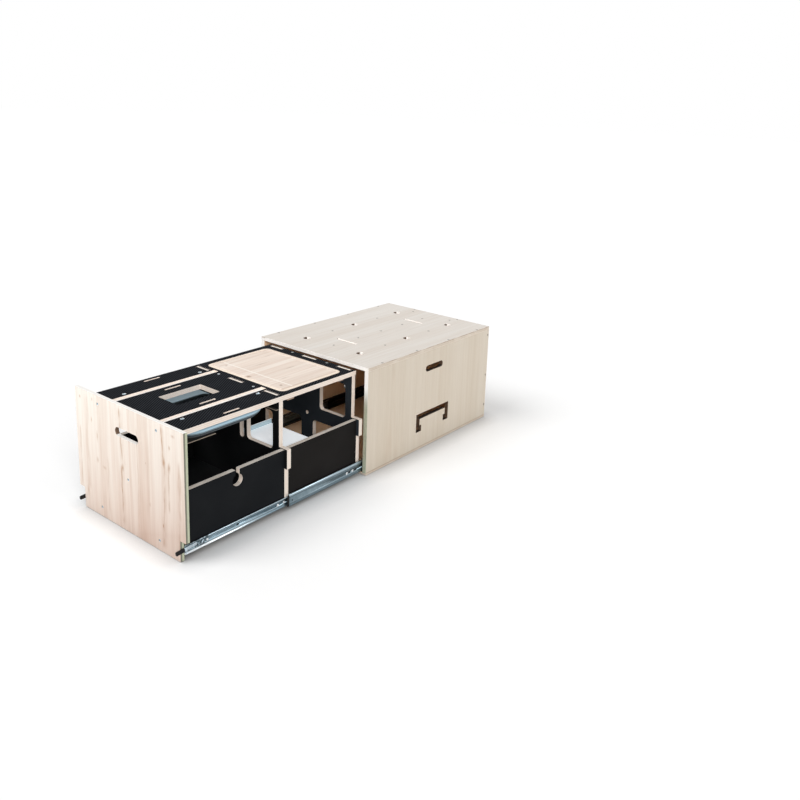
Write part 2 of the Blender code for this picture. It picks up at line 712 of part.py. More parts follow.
def worktop_openings():
    """The tap hole, strap holes, mortises and the pocket for the cutting board."""
    outlines = [rounded_rectangle(*WORKTOP_HOLE, WORKTOP_HOLE_CORNER)]
    for side in SIDES.values():
        for place in STRAP_HOLE_XS:
            left = side * place - STRAP_HOLE_WIDTH / 2
            right = left + STRAP_HOLE_WIDTH
            radius = STRAP_HOLE_WIDTH / 2 - JOINT_GAP
            outlines.append(rounded_rectangle(left, STRAP_HOLE_START, right, STRAP_HOLE_END, radius))
    for back in (MID_DIVIDER_BACK, REAR_DIVIDER_BACK):
        near = back - DRAWER_PLY - JOINT_GAP
        far = back + JOINT_GAP
        half = TENON_MIDDLE_HALF + JOINT_GAP
        outlines.append(rectangle(-half, near, half, far))
        mortise = rectangle(TENON_SIDE_START - JOINT_GAP, near, TENON_SIDE_END + JOINT_GAP, far)
        outlines += [mortise, mirrored(mortise)]
    half = BOARD_WIDTH / 2 + BOARD_CLEARANCE
    near = BOARD_START - BOARD_CLEARANCE
    far = BOARD_START + BOARD_DEPTH + BOARD_CLEARANCE
    corner = BOARD_CORNER + BOARD_CLEARANCE
    outlines.append(rounded_rectangle(-half, near, half, far, corner))
    return outlines


def insert_places():
    places = {}
    for name, side in SIDES.items():
        places[f"front_{name}"] = (side * INSERT_X, INSERT_FIRST)
        places[f"rear_{name}"] = (side * INSERT_X, INSERT_SECOND)
    return places


def build_worktop(drawer, board_black, steel):
    outline = rectangle(-WORKTOP_HALF, DRAWER_START, WORKTOP_HALF, DRAWER_LENGTH)
    top = solid("worktop", outline, "Z", WORKTOP_UNDERSIDE, WORKTOP_TOP, drawer, board_black)
    below = WORKTOP_UNDERSIDE - OVERRUN
    above = WORKTOP_TOP + OVERRUN
    screws = {}
    for place, back in (("mid", MID_DIVIDER_BACK), ("rear", REAR_DIVIDER_BACK)):
        for name, side in SIDES.items():
            screws[f"{place}_{name}"] = (side * WORKTOP_SCREW_X, back - DRAWER_PLY / 2)
    cut(top, worktop_openings(), "Z", below, above, "openings")
    near = GROOVE_X - GROOVE_WIDTH / 2
    groove = rectangle(near, 0, near + GROOVE_WIDTH, GROOVE_END)
    cut(top, [groove, mirrored(groove)], "Z", WORKTOP_TOP - GROOVE_DEPTH, above, "grooves")
    insert_holes = [disc(*place, INSERT_RADIUS + JOINT_GAP) for place in insert_places().values()]
    insert_floor = WORKTOP_TOP - INSERT_LENGTH - JOINT_GAP
    cut(top, insert_holes, "Z", insert_floor, above, "insert_holes")
    head_recesses(top, screws.values(), "Z", WORKTOP_TOP, -1)
    shank_holes(top, screws.values(), "Z", below, above, "shank_holes")
    tip = PANEL_SCREW_LENGTH + JOINT_GAP
    shank_holes(top, PANEL_HIGH_SCREWS, "Y", 0, tip, "panel_screw_holes")
    for name, (across, along) in screws.items():
        length = WORKTOP_SCREW_LENGTH
        screw(f"worktop_screw_{name}", "Z", across, along, WORKTOP_TOP, -1, length, drawer, steel)


def build_inserts(drawer, steel):
    low = WORKTOP_TOP - INSERT_LENGTH
    for name, place in insert_places().items():
        outline = disc(*place, INSERT_RADIUS)
        made = solid(f"worktop_insert_{name}", outline, "Z", low, WORKTOP_TOP, drawer, steel)
        bore = disc(*place, INSERT_BORE)
        cut(made, [bore], "Z", low - OVERRUN, WORKTOP_TOP + OVERRUN, "bore")


def build_battens(drawer, wood):
    top = WORKTOP_UNDERSIDE - JOINT_GAP
    front = BOARD_START + BATTEN_INSET
    rear = BOARD_START + BOARD_DEPTH - BATTEN_INSET - BATTEN_WIDTH
    for name, start in (("front", front), ("rear", rear)):
        outline = rectangle(-BATTEN_HALF, start, BATTEN_HALF, start + BATTEN_WIDTH)
        solid(f"board_batten_{name}", outline, "Z", top - BATTEN_HEIGHT, top, drawer, wood)


def build_cutting_board(board_body, beech):
    half = BOARD_WIDTH / 2
    outline = rounded_rectangle(-half, BOARD_START, half, BOARD_START + BOARD_DEPTH, BOARD_CORNER)
    low = WORKTOP_UNDERSIDE
    solid("cutting_board", outline, "Z", low, WORKTOP_TOP, board_body, beech)


# Folding wash basin, collapsed, and the ledges that it slides on

BASIN_SETBACK = 0.010
BASIN_END_GAP = 0.0015
BASIN_BACK_GAP = 0.007
BASIN_DROP = 0.005
BASIN_RIM_HEIGHT = 0.017
BASIN_FOLD_HEIGHT = 0.010
BASIN_HALF = WORKTOP_HALF - BASIN_SETBACK
BASIN_FRONT = DRAWER_START + DRAWER_PLY + BASIN_END_GAP
BASIN_BACK = MID_DIVIDER_FRONT - BASIN_BACK_GAP
BASIN_CORNER = 0.090
BASIN_RIM_TOP = WORKTOP_UNDERSIDE - BASIN_DROP
BASIN_RIM_BOTTOM = BASIN_RIM_TOP - BASIN_RIM_HEIGHT
BASIN_RIM_WALL = 0.014
BASIN_FOLD_INSET = 0.006
BASIN_BOTTOM = BASIN_RIM_BOTTOM - BASIN_FOLD_HEIGHT
BASIN_FLOOR_SHEET = 0.003
BASIN_FOLD_WALL = 0.016
LEDGE_SHEET = 0.004
FRONT_LEDGE_END = 0.152
FRONT_LEDGE_SETBACK = 0.015
FRONT_LEDGE_HALF = WORKTOP_HALF - FRONT_LEDGE_SETBACK
REAR_LEDGE_DEPTH = 0.011


def basin_outline(inset):
    half = BASIN_HALF - inset
    corner = BASIN_CORNER - inset
    return rounded_rectangle(-half, BASIN_FRONT + inset, half, BASIN_BACK - inset, corner)


def build_basin(basin, plastic_blue, rubber_grey):
    rim = solid("basin_rim", basin_outline(0), "Z", BASIN_RIM_BOTTOM, BASIN_RIM_TOP, basin, plastic_blue)
    mouth = basin_outline(BASIN_RIM_WALL)
    cut(rim, [mouth], "Z", BASIN_RIM_BOTTOM - OVERRUN, BASIN_RIM_TOP + OVERRUN, "mouth")
    fold = basin_outline(BASIN_FOLD_INSET)
    top = BASIN_RIM_BOTTOM - JOINT_GAP
    bowl = solid("basin_bowl", fold, "Z", BASIN_BOTTOM, top, basin, rubber_grey)
    hollow = basin_outline(BASIN_FOLD_INSET + BASIN_FOLD_WALL)
    cut(bowl, [hollow], "Z", BASIN_BOTTOM + BASIN_FLOOR_SHEET, top + OVERRUN, "hollow")


def build_ledges(drawer, wood):
    top = BASIN_BOTTOM - JOINT_GAP
    start = DRAWER_START + DRAWER_PLY + JOINT_GAP
    outline = rectangle(-FRONT_LEDGE_HALF, start, FRONT_LEDGE_HALF, FRONT_LEDGE_END)
    solid("basin_ledge_front", outline, "Z", top - LEDGE_SHEET, top, drawer, wood)
    top = BASIN_RIM_BOTTOM - JOINT_GAP
    end = MID_DIVIDER_FRONT - JOINT_GAP
    outline = rectangle(-UPRIGHT_HALF, end - REAR_LEDGE_DEPTH, UPRIGHT_HALF, end)
    solid("basin_ledge_rear", outline, "Z", top - LEDGE_SHEET, top, drawer, wood)


# Slide locks: a lever on a pin in each inner member, with a sleeve to press

LEVER_PIVOT_Y = 0.040
LEVER_PIVOT_RISE = 0.0055
LEVER_HEIGHT = 0.009
LEVER_SHEET = 0.0018
LEVER_OFFSET = 0.0046
LEVER_TAIL = 0.010
LEVER_TILT = math.radians(4)
SLEEVE_HEIGHT = 0.011
SLEEVE_WALL = 0.0009
SLEEVE_LENGTH = 0.027
SLEEVE_END_WALL = 0.002
PIN_RADIUS = 0.0022


def lever_reach():
    """How far the sleeve runs from the pivot, so that its tilted, rounded end stands out by LEVER_REACH."""
    corner = SLEEVE_HEIGHT / 4
    drop = (SLEEVE_HEIGHT / 2 - corner) * math.sin(LEVER_TILT)
    return (LEVER_PIVOT_Y + LEVER_REACH - corner - drop) / math.cos(LEVER_TILT) + corner


def build_locks(drawer, steel, plastic):
    reach = lever_reach()
    pivot_z = SLIDE_Z + LEVER_PIVOT_RISE
    for name, side in SIDES.items():
        lock = body(f"lock_{name}_body", (0, LEVER_PIVOT_Y, pivot_z), drawer)
        lock.rotation_euler = (LEVER_TILT, 0, 0)
        inner = side * (DRAWER_HALF + LEVER_OFFSET)
        outer = inner + side * LEVER_SHEET

        tip = SLEEVE_END_WALL + JOINT_GAP - reach
        half = LEVER_HEIGHT / 2
        outline = rounded_rectangle(tip, -half, LEVER_TAIL, half, half - JOINT_GAP)
        lever = solid(f"lock_lever_{name}", outline, "X", inner, outer, lock, steel)
        bore = disc(0, 0, PIN_RADIUS + JOINT_GAP)
        cut(lever, [bore], "X", inner - side * OVERRUN, outer + side * OVERRUN, "pin_hole")

        low = inner - side * (SLEEVE_WALL + JOINT_GAP)
        high = outer + side * (SLEEVE_WALL + JOINT_GAP)
        half = SLEEVE_HEIGHT / 2
        outline = rounded_rectangle(-reach, -half, SLEEVE_LENGTH - reach, half, half / 2)
        sleeve = solid(f"lock_sleeve_{name}", outline, "X", low, high, lock, plastic)
        half = LEVER_HEIGHT / 2 + JOINT_GAP
        pocket = rectangle(tip - JOINT_GAP, -half, SLEEVE_LENGTH - reach + OVERRUN, half)
        cut(sleeve, [pocket], "X", inner - side * JOINT_GAP, outer + side * JOINT_GAP, "pocket")

        start = side * (DRAWER_HALF + SLIDE_SHEET + 2 * JOINT_GAP)
        pin = disc(LEVER_PIVOT_Y, pivot_z, PIN_RADIUS)
        solid(f"lock_pin_{name}", pin, "X", start, outer, drawer, steel)


# Assembly

def build_kit():
    clear_scene()
    wood = finish_of("plywood", (0.80, 0.66, 0.52), 0.55)
    board_black = finish_of("black_board", (0.012, 0.013, 0.016), 0.40)
    beech = finish_of("oiled_wood", (0.82, 0.64, 0.49), 0.50)
    zinc = finish_of("zinc_steel", (0.55, 0.60, 0.63), 0.32, 1.0)
    cage_steel = finish_of("cage_steel", (0.42, 0.44, 0.46), 0.40, 1.0)
    plastic = finish_of("black_plastic", (0.010, 0.010, 0.011), 0.45)
    basin_blue = finish_of("basin_plastic", (0.42, 0.56, 0.64), 0.38)
    basin_grey = finish_of("basin_rubber", (0.20, 0.27, 0.31), 0.55)
    white = finish_of("white_laminate", (0.72, 0.75, 0.78), 0.35)

    case = body("case_body", (0, MOUTH_Y, 0))
    drawer = body("drawer_body", (0, PANEL_Y, 0))
    board_body = body("cutting_board_body", (0, 0, 0), drawer)
    basin = body("wash_basin_body", (0, 0, 0), drawer)

    build_case(case, wood)
    build_slide_outer(case, zinc)
    build_slides(case, zinc, cage_steel, plastic)
    build_slide_inner(drawer, zinc)
    build_front_panel(drawer, wood, zinc)
    build_front_divider(drawer, board_black)
    build_mid_divider(drawer, board_black)
    build_rear_divider(drawer, board_black)
    build_side_boards(drawer, board_black)
    build_drawer_floor(drawer, board_black)
    build_shelf(drawer, white)
    build_worktop(drawer, board_black, zinc)
    build_inserts(drawer, zinc)
    build_battens(drawer, wood)
    build_cutting_board(board_body, beech)
    build_ledges(drawer, wood)
    build_basin(basin, basin_blue, basin_grey)
    build_locks(drawer, zinc, plastic)


build_kit()
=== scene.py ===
import math
from functools import partial, reduce

import bmesh
import bpy
from mathutils import Matrix, Quaternion, Vector


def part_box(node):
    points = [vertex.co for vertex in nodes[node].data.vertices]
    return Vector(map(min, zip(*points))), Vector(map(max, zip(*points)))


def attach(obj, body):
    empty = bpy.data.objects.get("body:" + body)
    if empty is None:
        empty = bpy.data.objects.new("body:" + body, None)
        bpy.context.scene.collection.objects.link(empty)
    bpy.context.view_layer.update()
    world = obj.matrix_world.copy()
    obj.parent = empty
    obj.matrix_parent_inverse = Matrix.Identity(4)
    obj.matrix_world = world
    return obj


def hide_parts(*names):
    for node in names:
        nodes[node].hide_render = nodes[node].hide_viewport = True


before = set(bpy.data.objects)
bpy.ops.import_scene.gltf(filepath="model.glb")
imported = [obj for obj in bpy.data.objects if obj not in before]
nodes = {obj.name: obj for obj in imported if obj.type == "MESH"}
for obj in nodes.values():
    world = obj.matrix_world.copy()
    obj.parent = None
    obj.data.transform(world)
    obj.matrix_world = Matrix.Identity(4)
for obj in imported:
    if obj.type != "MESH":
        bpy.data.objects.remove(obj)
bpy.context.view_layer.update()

for old in [item for item in bpy.data.objects if item.type in ("LIGHT", "CAMERA")]:
    bpy.data.objects.remove(old, do_unlink=True)


# Studio
# A white floor and a white surround, a soft lamp high on the left and a stronger one on
# the right, and the eye of a standing person in front of the right corner.

scene = bpy.context.scene
scene.view_settings.view_transform = "Standard"

FLOOR_HALF = 40.0
FLOOR_Z = -0.0006
FLOOR_TONE = 0.93
FLOOR_LIFT = 0.10
# Painted contact shade on the floor: how far it reaches and how dark it gets at the contact
CONTACT_SHADE_REACH = 0.085
CONTACT_SHADE_TONE = 0.22
SURROUND_STRENGTH = 0.36
WHITE = (1.0, 1.0, 1.0)
# Each lamp: name, the way its light travels, strength, angle in degrees
LAMPS = [
    ("high_lamp", (0.28, 0.56, -0.78), 1.53, 36),
    ("side_lamp", (-0.72, 0.47, -0.51), 1.54, 34),
]
EYE = Vector((1.840226, -1.842574, 1.196426))
EYE_AZIMUTH = math.radians(37.406)
EYE_ELEVATION = math.radians(12.853)
EYE_ROLL = math.radians(2.2545)
LENS_MM = 36.497
SHIFT = (-0.01987, -0.14259)
LOOKS = {
    "colour": "Base Color",
    "rough": "Roughness",
    "relief": "Normal",
    "metal": "Metallic",
    "gloss": "Specular IOR Level",
    "glow": "Emission Color",
    "glow_strength": "Emission Strength",
}


def fill(node, inputs):
    """Sets a node's inputs to values, or joins them to the outputs of other nodes."""
    for name, value in inputs.items():
        socket = node.inputs[name]
        if isinstance(value, bpy.types.NodeSocket):
            node.id_data.links.new(value, socket)
        else:
            socket.default_value = (*value, 1.0) if socket.type == "RGBA" else value


def add_node(tree, kind, inputs=None, **settings):
    made = tree.nodes.new(kind)
    for name, value in settings.items():
        setattr(made, name, value)
    fill(made, inputs or {})
    return made


def beside(kind, inputs, **settings):
    """A node in the tree that some of its inputs come from."""
    sockets = [value for value in inputs.values() if isinstance(value, bpy.types.NodeSocket)]
    return add_node(sockets[0].id_data, kind, inputs, **settings)


def calculate(operation, first, second=0.0, clamp=False):
    inputs = {0: first, 1: second}
    return beside("ShaderNodeMath", inputs, operation=operation, use_clamp=clamp).outputs[0]


def times(*values):
    return reduce(partial(calculate, "MULTIPLY"), values)


def plus(*values):
    return reduce(partial(calculate, "ADD"), values)


def grey(value):
    return beside("ShaderNodeCombineXYZ", {"X": value, "Y": value, "Z": value}).outputs[0]


def new_material(name):
    """A material with its node tree and its shader."""
    made = bpy.data.materials.new(name)
    made.use_nodes = True
    return made, made.node_tree, made.node_tree.nodes["Principled BSDF"]


def coat(shader, **looks):
    """Gives a surface its colour, roughness, relief and the like."""
    fill(shader, {LOOKS[name]: value for name, value in looks.items()})


def mesh_of(piece_mesh, name):
    data = bpy.data.meshes.new(name)
    piece_mesh.to_mesh(data)
    piece_mesh.free()
    return data


def placed(name, data):
    """An object of the scene that holds some data."""
    made = bpy.data.objects.new(name, data)
    scene.collection.objects.link(made)
    return made


def seen_directly(tree):
    """1 for rays that come from the eye, a mirror or glass."""
    path = tree.nodes.new("ShaderNodeLightPath").outputs
    seen = calculate("MAXIMUM", path["Is Camera Ray"], path["Is Glossy Ray"])
    return calculate("MAXIMUM", seen, path["Is Transmission Ray"])


def make_surround():
    world = bpy.data.worlds.new("surround")
    scene.world = world
    world.use_nodes = True
    strength = calculate("MAXIMUM", seen_directly(world.node_tree), SURROUND_STRENGTH)
    fill(world.node_tree.nodes["Background"], {"Color": WHITE, "Strength": strength})


def make_floor():
    mesh = bmesh.new()
    bmesh.ops.create_grid(mesh, x_segments=1, y_segments=1, size=FLOOR_HALF)
    bmesh.ops.translate(mesh, verts=mesh.verts, vec=(0, 0, FLOOR_Z))
    floor = placed("floor", mesh_of(mesh, "floor"))
    white, tree, shader = new_material("floor_white")
    # Painted contact shade: ambient occlusion darkens the floor's colour and its lift near the kit
    near = add_node(tree, "ShaderNodeAmbientOcclusion", {"Distance": CONTACT_SHADE_REACH}, samples=8)
    light = plus(times(near.outputs["AO"], 1.0 - CONTACT_SHADE_TONE), CONTACT_SHADE_TONE)
    lift = times(seen_directly(tree), FLOOR_LIFT, light)
    tone = grey(times(light, FLOOR_TONE))
    coat(shader, colour=tone, rough=1.0, gloss=0.0, glow=WHITE, glow_strength=lift)
    floor.data.materials.append(white)


def make_lamps():
    for name, towards, strength, angle in LAMPS:
        lamp = bpy.data.lights.new(name, "SUN")
        lamp.energy = strength
        lamp.angle = math.radians(angle)
        holder = placed(name, lamp)
        holder.rotation_mode = "QUATERNION"
        holder.rotation_quaternion = Vector(towards).to_track_quat("-Z", "Y")


def make_eye():
    lens = bpy.data.cameras.new("eye")
    lens.lens = LENS_MM
    lens.shift_x, lens.shift_y = SHIFT
    lens.clip_start = 0.01
    lens.clip_end = 200.0
    eye = placed("eye", lens)
    level = math.cos(EYE_ELEVATION)
    back = Vector((math.sin(EYE_AZIMUTH) * level, -math.cos(EYE_AZIMUTH) * level, math.sin(EYE_ELEVATION)))
    eye.location = EYE
    eye.rotation_mode = "QUATERNION"
    eye.rotation_quaternion = back.to_track_quat("Z", "Y") @ Quaternion((0, 0, 1), EYE_ROLL)
    scene.camera = eye


make_surround()
make_floor()
make_lamps()
make_eye()


# Case of clear-lacquered birch plywood
# Base, two sides, top and back, glued and screwed at the edges. The veneer's grain stands
# upright on the sides and runs front to back on the top, and the cut edges show the plies.

SOCKETS = {"colour": "NodeSocketColor", "value": "NodeSocketFloat", "vector": "NodeSocketVector"}
FACE_SKIN = 0.0005
SQUARE_ON = 0.7
PLY_RELIEF = 0.00025
VENEER_STRIP = 0.046
EDGE_WHITE = ((1.0, 0.97, 0.94), (0.93, 0.88, 0.82))
EDGE_WARM = ((0.74, 0.66, 0.56), (0.50, 0.39, 0.29))
EDGE_SHADE_GREEN = ((0.50, 0.53, 0.38), (0.19, 0.185, 0.14))
INSIDE_BOUNCE_LIGHT = (1.46, 1.20, 0.97)
HOLE_SHADE_BROWN = (0.13, 0.08, 0.05)
HOLE_SHADE_BLACK = (0.035, 0.025, 0.018)
HOLE_PAINTED_LIGHT = (1.0, 0.90, 0.80)
HOLE_PAINTED_LIGHT_STRENGTH = 0.27
MOUTH_EDGE_SHADE_FADE = (0.22, 0.31)
RIM_MARGIN = 0.02
MOUTH_MARGIN = 0.05
CUT_OUT_MARGIN = 0.03
CUT_OUT_MIDDLE = 0.18
CUT_OUT_HALF = 0.15
SIDE_PLY = 0.015
DECK_SEAM_SHADE_DEPTH = 0.004
PAINTED_SHADE_BROWN = (0.34, 0.23, 0.15)
FOOT_SHADE_BAND = (0.0015, 0.0035)
CASE_EASE = 0.0005
SIDE_TONES = {"Light": (0.69, 0.615, 0.515), "Dark": (0.615, 0.525, 0.415), "Streak": (0.55, 0.42, 0.30)}
# The deck's tones are lighter and greyer than the sides', a painted sheen of the lacquer
DECK_SHEEN_TONES = {"Light": (0.75, 0.71, 0.66), "Dark": (0.67, 0.60, 0.53), "Streak": (0.54, 0.43, 0.34)}
# Each board: grain, seed, tones, plies, streaks, strips, contrast, edge tones, the way inwards
CASE_BOARDS = {
    "case_base": ("Y", 3.1, SIDE_TONES, 5, 0.35, 0.25, 0.6, (EDGE_WARM, EDGE_WARM), 1),
    "case_side_left": ("Z", 7.7, SIDE_TONES, 9, 0.35, 0.25, 0.6, (EDGE_WHITE, EDGE_WARM), 1),
    "case_side_right": ("Z", 1.9, SIDE_TONES, 9, 0.45, 0.25, 0.75, (EDGE_WHITE, EDGE_WARM), -1),
    "case_top": ("Y", 5.3, DECK_SHEEN_TONES, 9, 0.40, 0.25, 0.9, (EDGE_WHITE, EDGE_WARM), -1),
    "case_back": ("Z", 9.2, SIDE_TONES, 9, 0.35, 0.25, 0.6, (EDGE_WARM, EDGE_WARM), -1),
}


def minus(first, second):
    return calculate("SUBTRACT", first, second)


def rest_of(share):
    return minus(1.0, share)


def amount(value):
    return calculate("ABSOLUTE", value)


def above(value, level):
    return calculate("GREATER_THAN", value, level)


def below(value, level):
    return calculate("LESS_THAN", value, level)


def new_group(name, outputs, **inputs):
    """An empty node group with sockets of each kind, its input node's outputs and its output node."""
    tree = bpy.data.node_groups.new(name, "ShaderNodeTree")
    for kind, names in inputs.items():
        for socket in names.split():
            tree.interface.new_socket(name=socket, in_out="INPUT", socket_type=SOCKETS[kind])
    for socket in outputs.split():
        kind = SOCKETS["colour" if socket == "Color" else "value"]
        tree.interface.new_socket(name=socket, in_out="OUTPUT", socket_type=kind)
    return tree, tree.nodes.new("NodeGroupInput").outputs, tree.nodes.new("NodeGroupOutput")


def effect(group, inputs):
    return beside("ShaderNodeGroup", inputs, node_tree=group).outputs


def vector_math(operation, first, second=(0.0, 0.0, 0.0)):
    return beside("ShaderNodeVectorMath", {0: first, 1: second}, operation=operation).outputs


def parts(vector):
    return beside("ShaderNodeSeparateXYZ", {0: vector}).outputs


def surface(tree):
    """Where a point of the piece lies, the parts of that place and the parts of its normal."""
    reading = tree.nodes.new("ShaderNodeTexCoord").outputs
    return reading["Object"], parts(reading["Object"]), parts(reading["Normal"])


def noise(place, cells, detail=2.0, roughness=0.5, distortion=0.0):
    """Noise from 0 to 1 with so many cells per metre, in all or along each direction."""
    cells = cells if isinstance(cells, tuple) else (cells, cells, cells)
    inputs = {"Vector": vector_math("MULTIPLY", place, cells)["Vector"], "Scale": 1.0, "Detail": detail}
    inputs |= {"Roughness": roughness, "Distortion": distortion}
    return beside("ShaderNodeTexNoise", inputs).outputs["Fac"]


def stepped_noise(value):
    """A number from 0 to 1 that jumps with each whole step of a value."""
    inputs = {"W": calculate("FLOOR", value)}
    return beside("ShaderNodeTexWhiteNoise", inputs, noise_dimensions="1D").outputs["Value"]


def smooth_step(value, low, high):
    inputs = {"Value": value, "From Min": low, "From Max": high}
    return beside("ShaderNodeMapRange", inputs, interpolation_type="SMOOTHSTEP").outputs["Result"]


def mix_colours(share, first, second, kind="MIX"):
    inputs = {0: share, 6: first, 7: second}
    return beside("ShaderNodeMix", inputs, data_type="RGBA", blend_type=kind).outputs[2]


def tinted(colour, tint):
    return mix_colours(1.0, colour, tint, "MULTIPLY")


def mix_values(share, first, second):
    return beside("ShaderNodeMix", {0: share, 2: first, 3: second}).outputs[0]


def bump(height, distance, strength=0.5):
    inputs = {"Height": height, "Distance": distance, "Strength": strength}
    return beside("ShaderNodeBump", inputs).outputs["Normal"]


def make_veneer_group():
    """Planed birch: veneer strips, soft bands, fine fibres and a few brown streaks along the grain."""
    inputs = {"vector": "Place", "value": "Seed Streaks Strips Contrast", "colour": "Light Dark Streak"}
    tree, into, out = new_group("birch_veneer", "Color Height", **inputs)
    place = vector_math("ADD", into["Place"], grey(into["Seed"]))["Vector"]
    broad = noise(place, (1.1, 17.0, 1.0), 3.0, 0.55, 0.3)
    bands = noise(place, (2.4, 85.0, 1.0), 3.0, 0.55, 0.2)
    fibres = noise(place, (14.0, 800.0, 1.0), 2.0, 0.6)
    cloud = noise(place, (8.0, 24.0, 1.0))
    sway = noise(place, (2.0, 1.0, 1.0), 1.0)
    strip = plus(calculate("DIVIDE", parts(place)["Y"], VENEER_STRIP), times(sway, 0.5))
    strips = times(minus(stepped_noise(strip), 0.5), into["Strips"])
    tone = plus(times(smooth_step(broad, 0.30, 0.72), 0.5), times(smooth_step(bands, 0.32, 0.72), 0.5))
    tone = times(minus(tone, 0.5), into["Contrast"])
    tone = calculate("ADD", plus(tone, 0.5), strips, True)
    colour = mix_colours(tone, into["Light"], into["Dark"])
    streak = smooth_step(noise(place, (0.9, 13.0, 1.0), 4.0, 0.62, 0.6), 0.58, 0.76)
    streak = times(streak, smooth_step(cloud, 0.25, 0.75), into["Streaks"])
    colour = mix_colours(streak, colour, into["Streak"])
    colour = tinted(colour, grey(minus(1.09, times(fibres, 0.18))))
    fill(out, {"Color": colour, "Height": fibres})
    return tree


def make_plies_group():
    """A cut plywood edge: light and dark plies in turn, thin glue lines and short end grain."""
    inputs = {"vector": "Place", "value": "Through Thickness Plies", "colour": "Light Dark"}
    tree, into, out = new_group("ply_edge", "Color Height", **inputs)
    share = plus(calculate("DIVIDE", into["Through"], into["Thickness"]), 0.5)
    count = times(share, into["Plies"])
    odd = calculate("MODULO", calculate("FLOOR", count), 2.0)
    seam = rest_of(smooth_step(calculate("PINGPONG", count, 0.5), 0.03, 0.14))
    speck = noise(into["Place"], (260.0, 260.0, 90.0), 2.0, 0.6)
    blot = noise(into["Place"], 22.0)
    dark = times(calculate("MAXIMUM", times(odd, 0.6), times(seam, 0.8)), smooth_step(blot, 0.15, 0.6))
    dark = calculate("ADD", dark, times(smooth_step(speck, 0.5, 0.75), 0.22), True)
    colour = mix_colours(dark, into["Light"], into["Dark"])
    fill(out, {"Color": colour, "Height": minus(speck, times(seam, 0.5))})
    return tree


VENEER = make_veneer_group()
PLIES = make_plies_group()


def board_places(tree, node, grain):
    """Where a point lies in a board (along, across and through it), how deep, how thick the board
    is, masks of its faces and of its edges that face sideways, and which way its faces look."""
    low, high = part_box(node)
    size = high - low
    through = min(range(3), key=lambda axis: size[axis])
    along = "XYZ".index(grain)
    _, place, facing = surface(tree)
    depth = minus(place[through], (low[through] + high[through]) / 2)
    inputs = {"X": place[along], "Y": place[3 - along - through], "Z": depth}
    ordered = beside("ShaderNodeCombineXYZ", inputs).outputs[0]
    level = above(amount(facing[through]), SQUARE_ON)
    face = times(level, above(amount(depth), size[through] / 2 - FACE_SKIN))
    return ordered, depth, size[through], face, above(amount(facing["X"]), SQUARE_ON), facing[through]


def edge_colour(place, depth, thickness, plies, light, dark):
    inputs = {"Place": place, "Through": depth, "Thickness": thickness, "Plies": plies}
    return effect(PLIES, inputs | {"Light": light, "Dark": dark})


def plywood(node, grain, seed, tones, plies, streaks, strips, contrast, edges, inwards=0):
    """Bare lacquered plywood for one board. Its front and top edges take the first edge tones,
    its side edges the second, and the face that looks into the case is tinted warmer and lighter, a painted
    bounce light."""
    made, tree, shader = new_material(f"{node}_birch")
    place, depth, thickness, face, side, facing = board_places(tree, node, grain)
    inputs = {"Place": place, "Seed": seed, "Streaks": streaks, "Strips": strips, "Contrast": contrast}
    veneer = effect(VENEER, inputs | tones)
    front_edges, side_edges = [edge_colour(place, depth, thickness, plies, *pair) for pair in edges]
    cut_edges = mix_colours(side, front_edges["Color"], side_edges["Color"])
    wood = veneer["Color"]
    if inwards:
        # Painted bounce light: faces that look into the case are tinted warmer and lighter
        wood = mix_colours(above(times(facing, float(inwards)), 0.5), wood, tinted(wood, INSIDE_BOUNCE_LIGHT))
    colour = mix_colours(face, cut_edges, wood)
    height = mix_values(face, front_edges["Height"], veneer["Height"])
    wear = beside("ShaderNodeMath", {0: height, 1: 0.12, 2: 0.46}, operation="MULTIPLY_ADD").outputs[0]
    coat(shader, colour=colour, relief=bump(height, PLY_RELIEF), rough=wear)
    return made, tree, shader, place, face, colour


def ease_edges(piece, width, segments=2):
    """Joins the loose triangles and gives the sharp edges a small round."""
    weld = piece.modifiers.new("joined", "WELD")
    weld.merge_threshold = 0.00001
    rounding = piece.modifiers.new("eased", "BEVEL")
    rounding.width = width
    rounding.segments = segments
    rounding.limit_method = "ANGLE"
    rounding.angle_limit = math.radians(40)


def dress(node, material):
    piece = nodes[node]
    piece.data.materials.clear()
    piece.data.materials.append(material)
    return piece


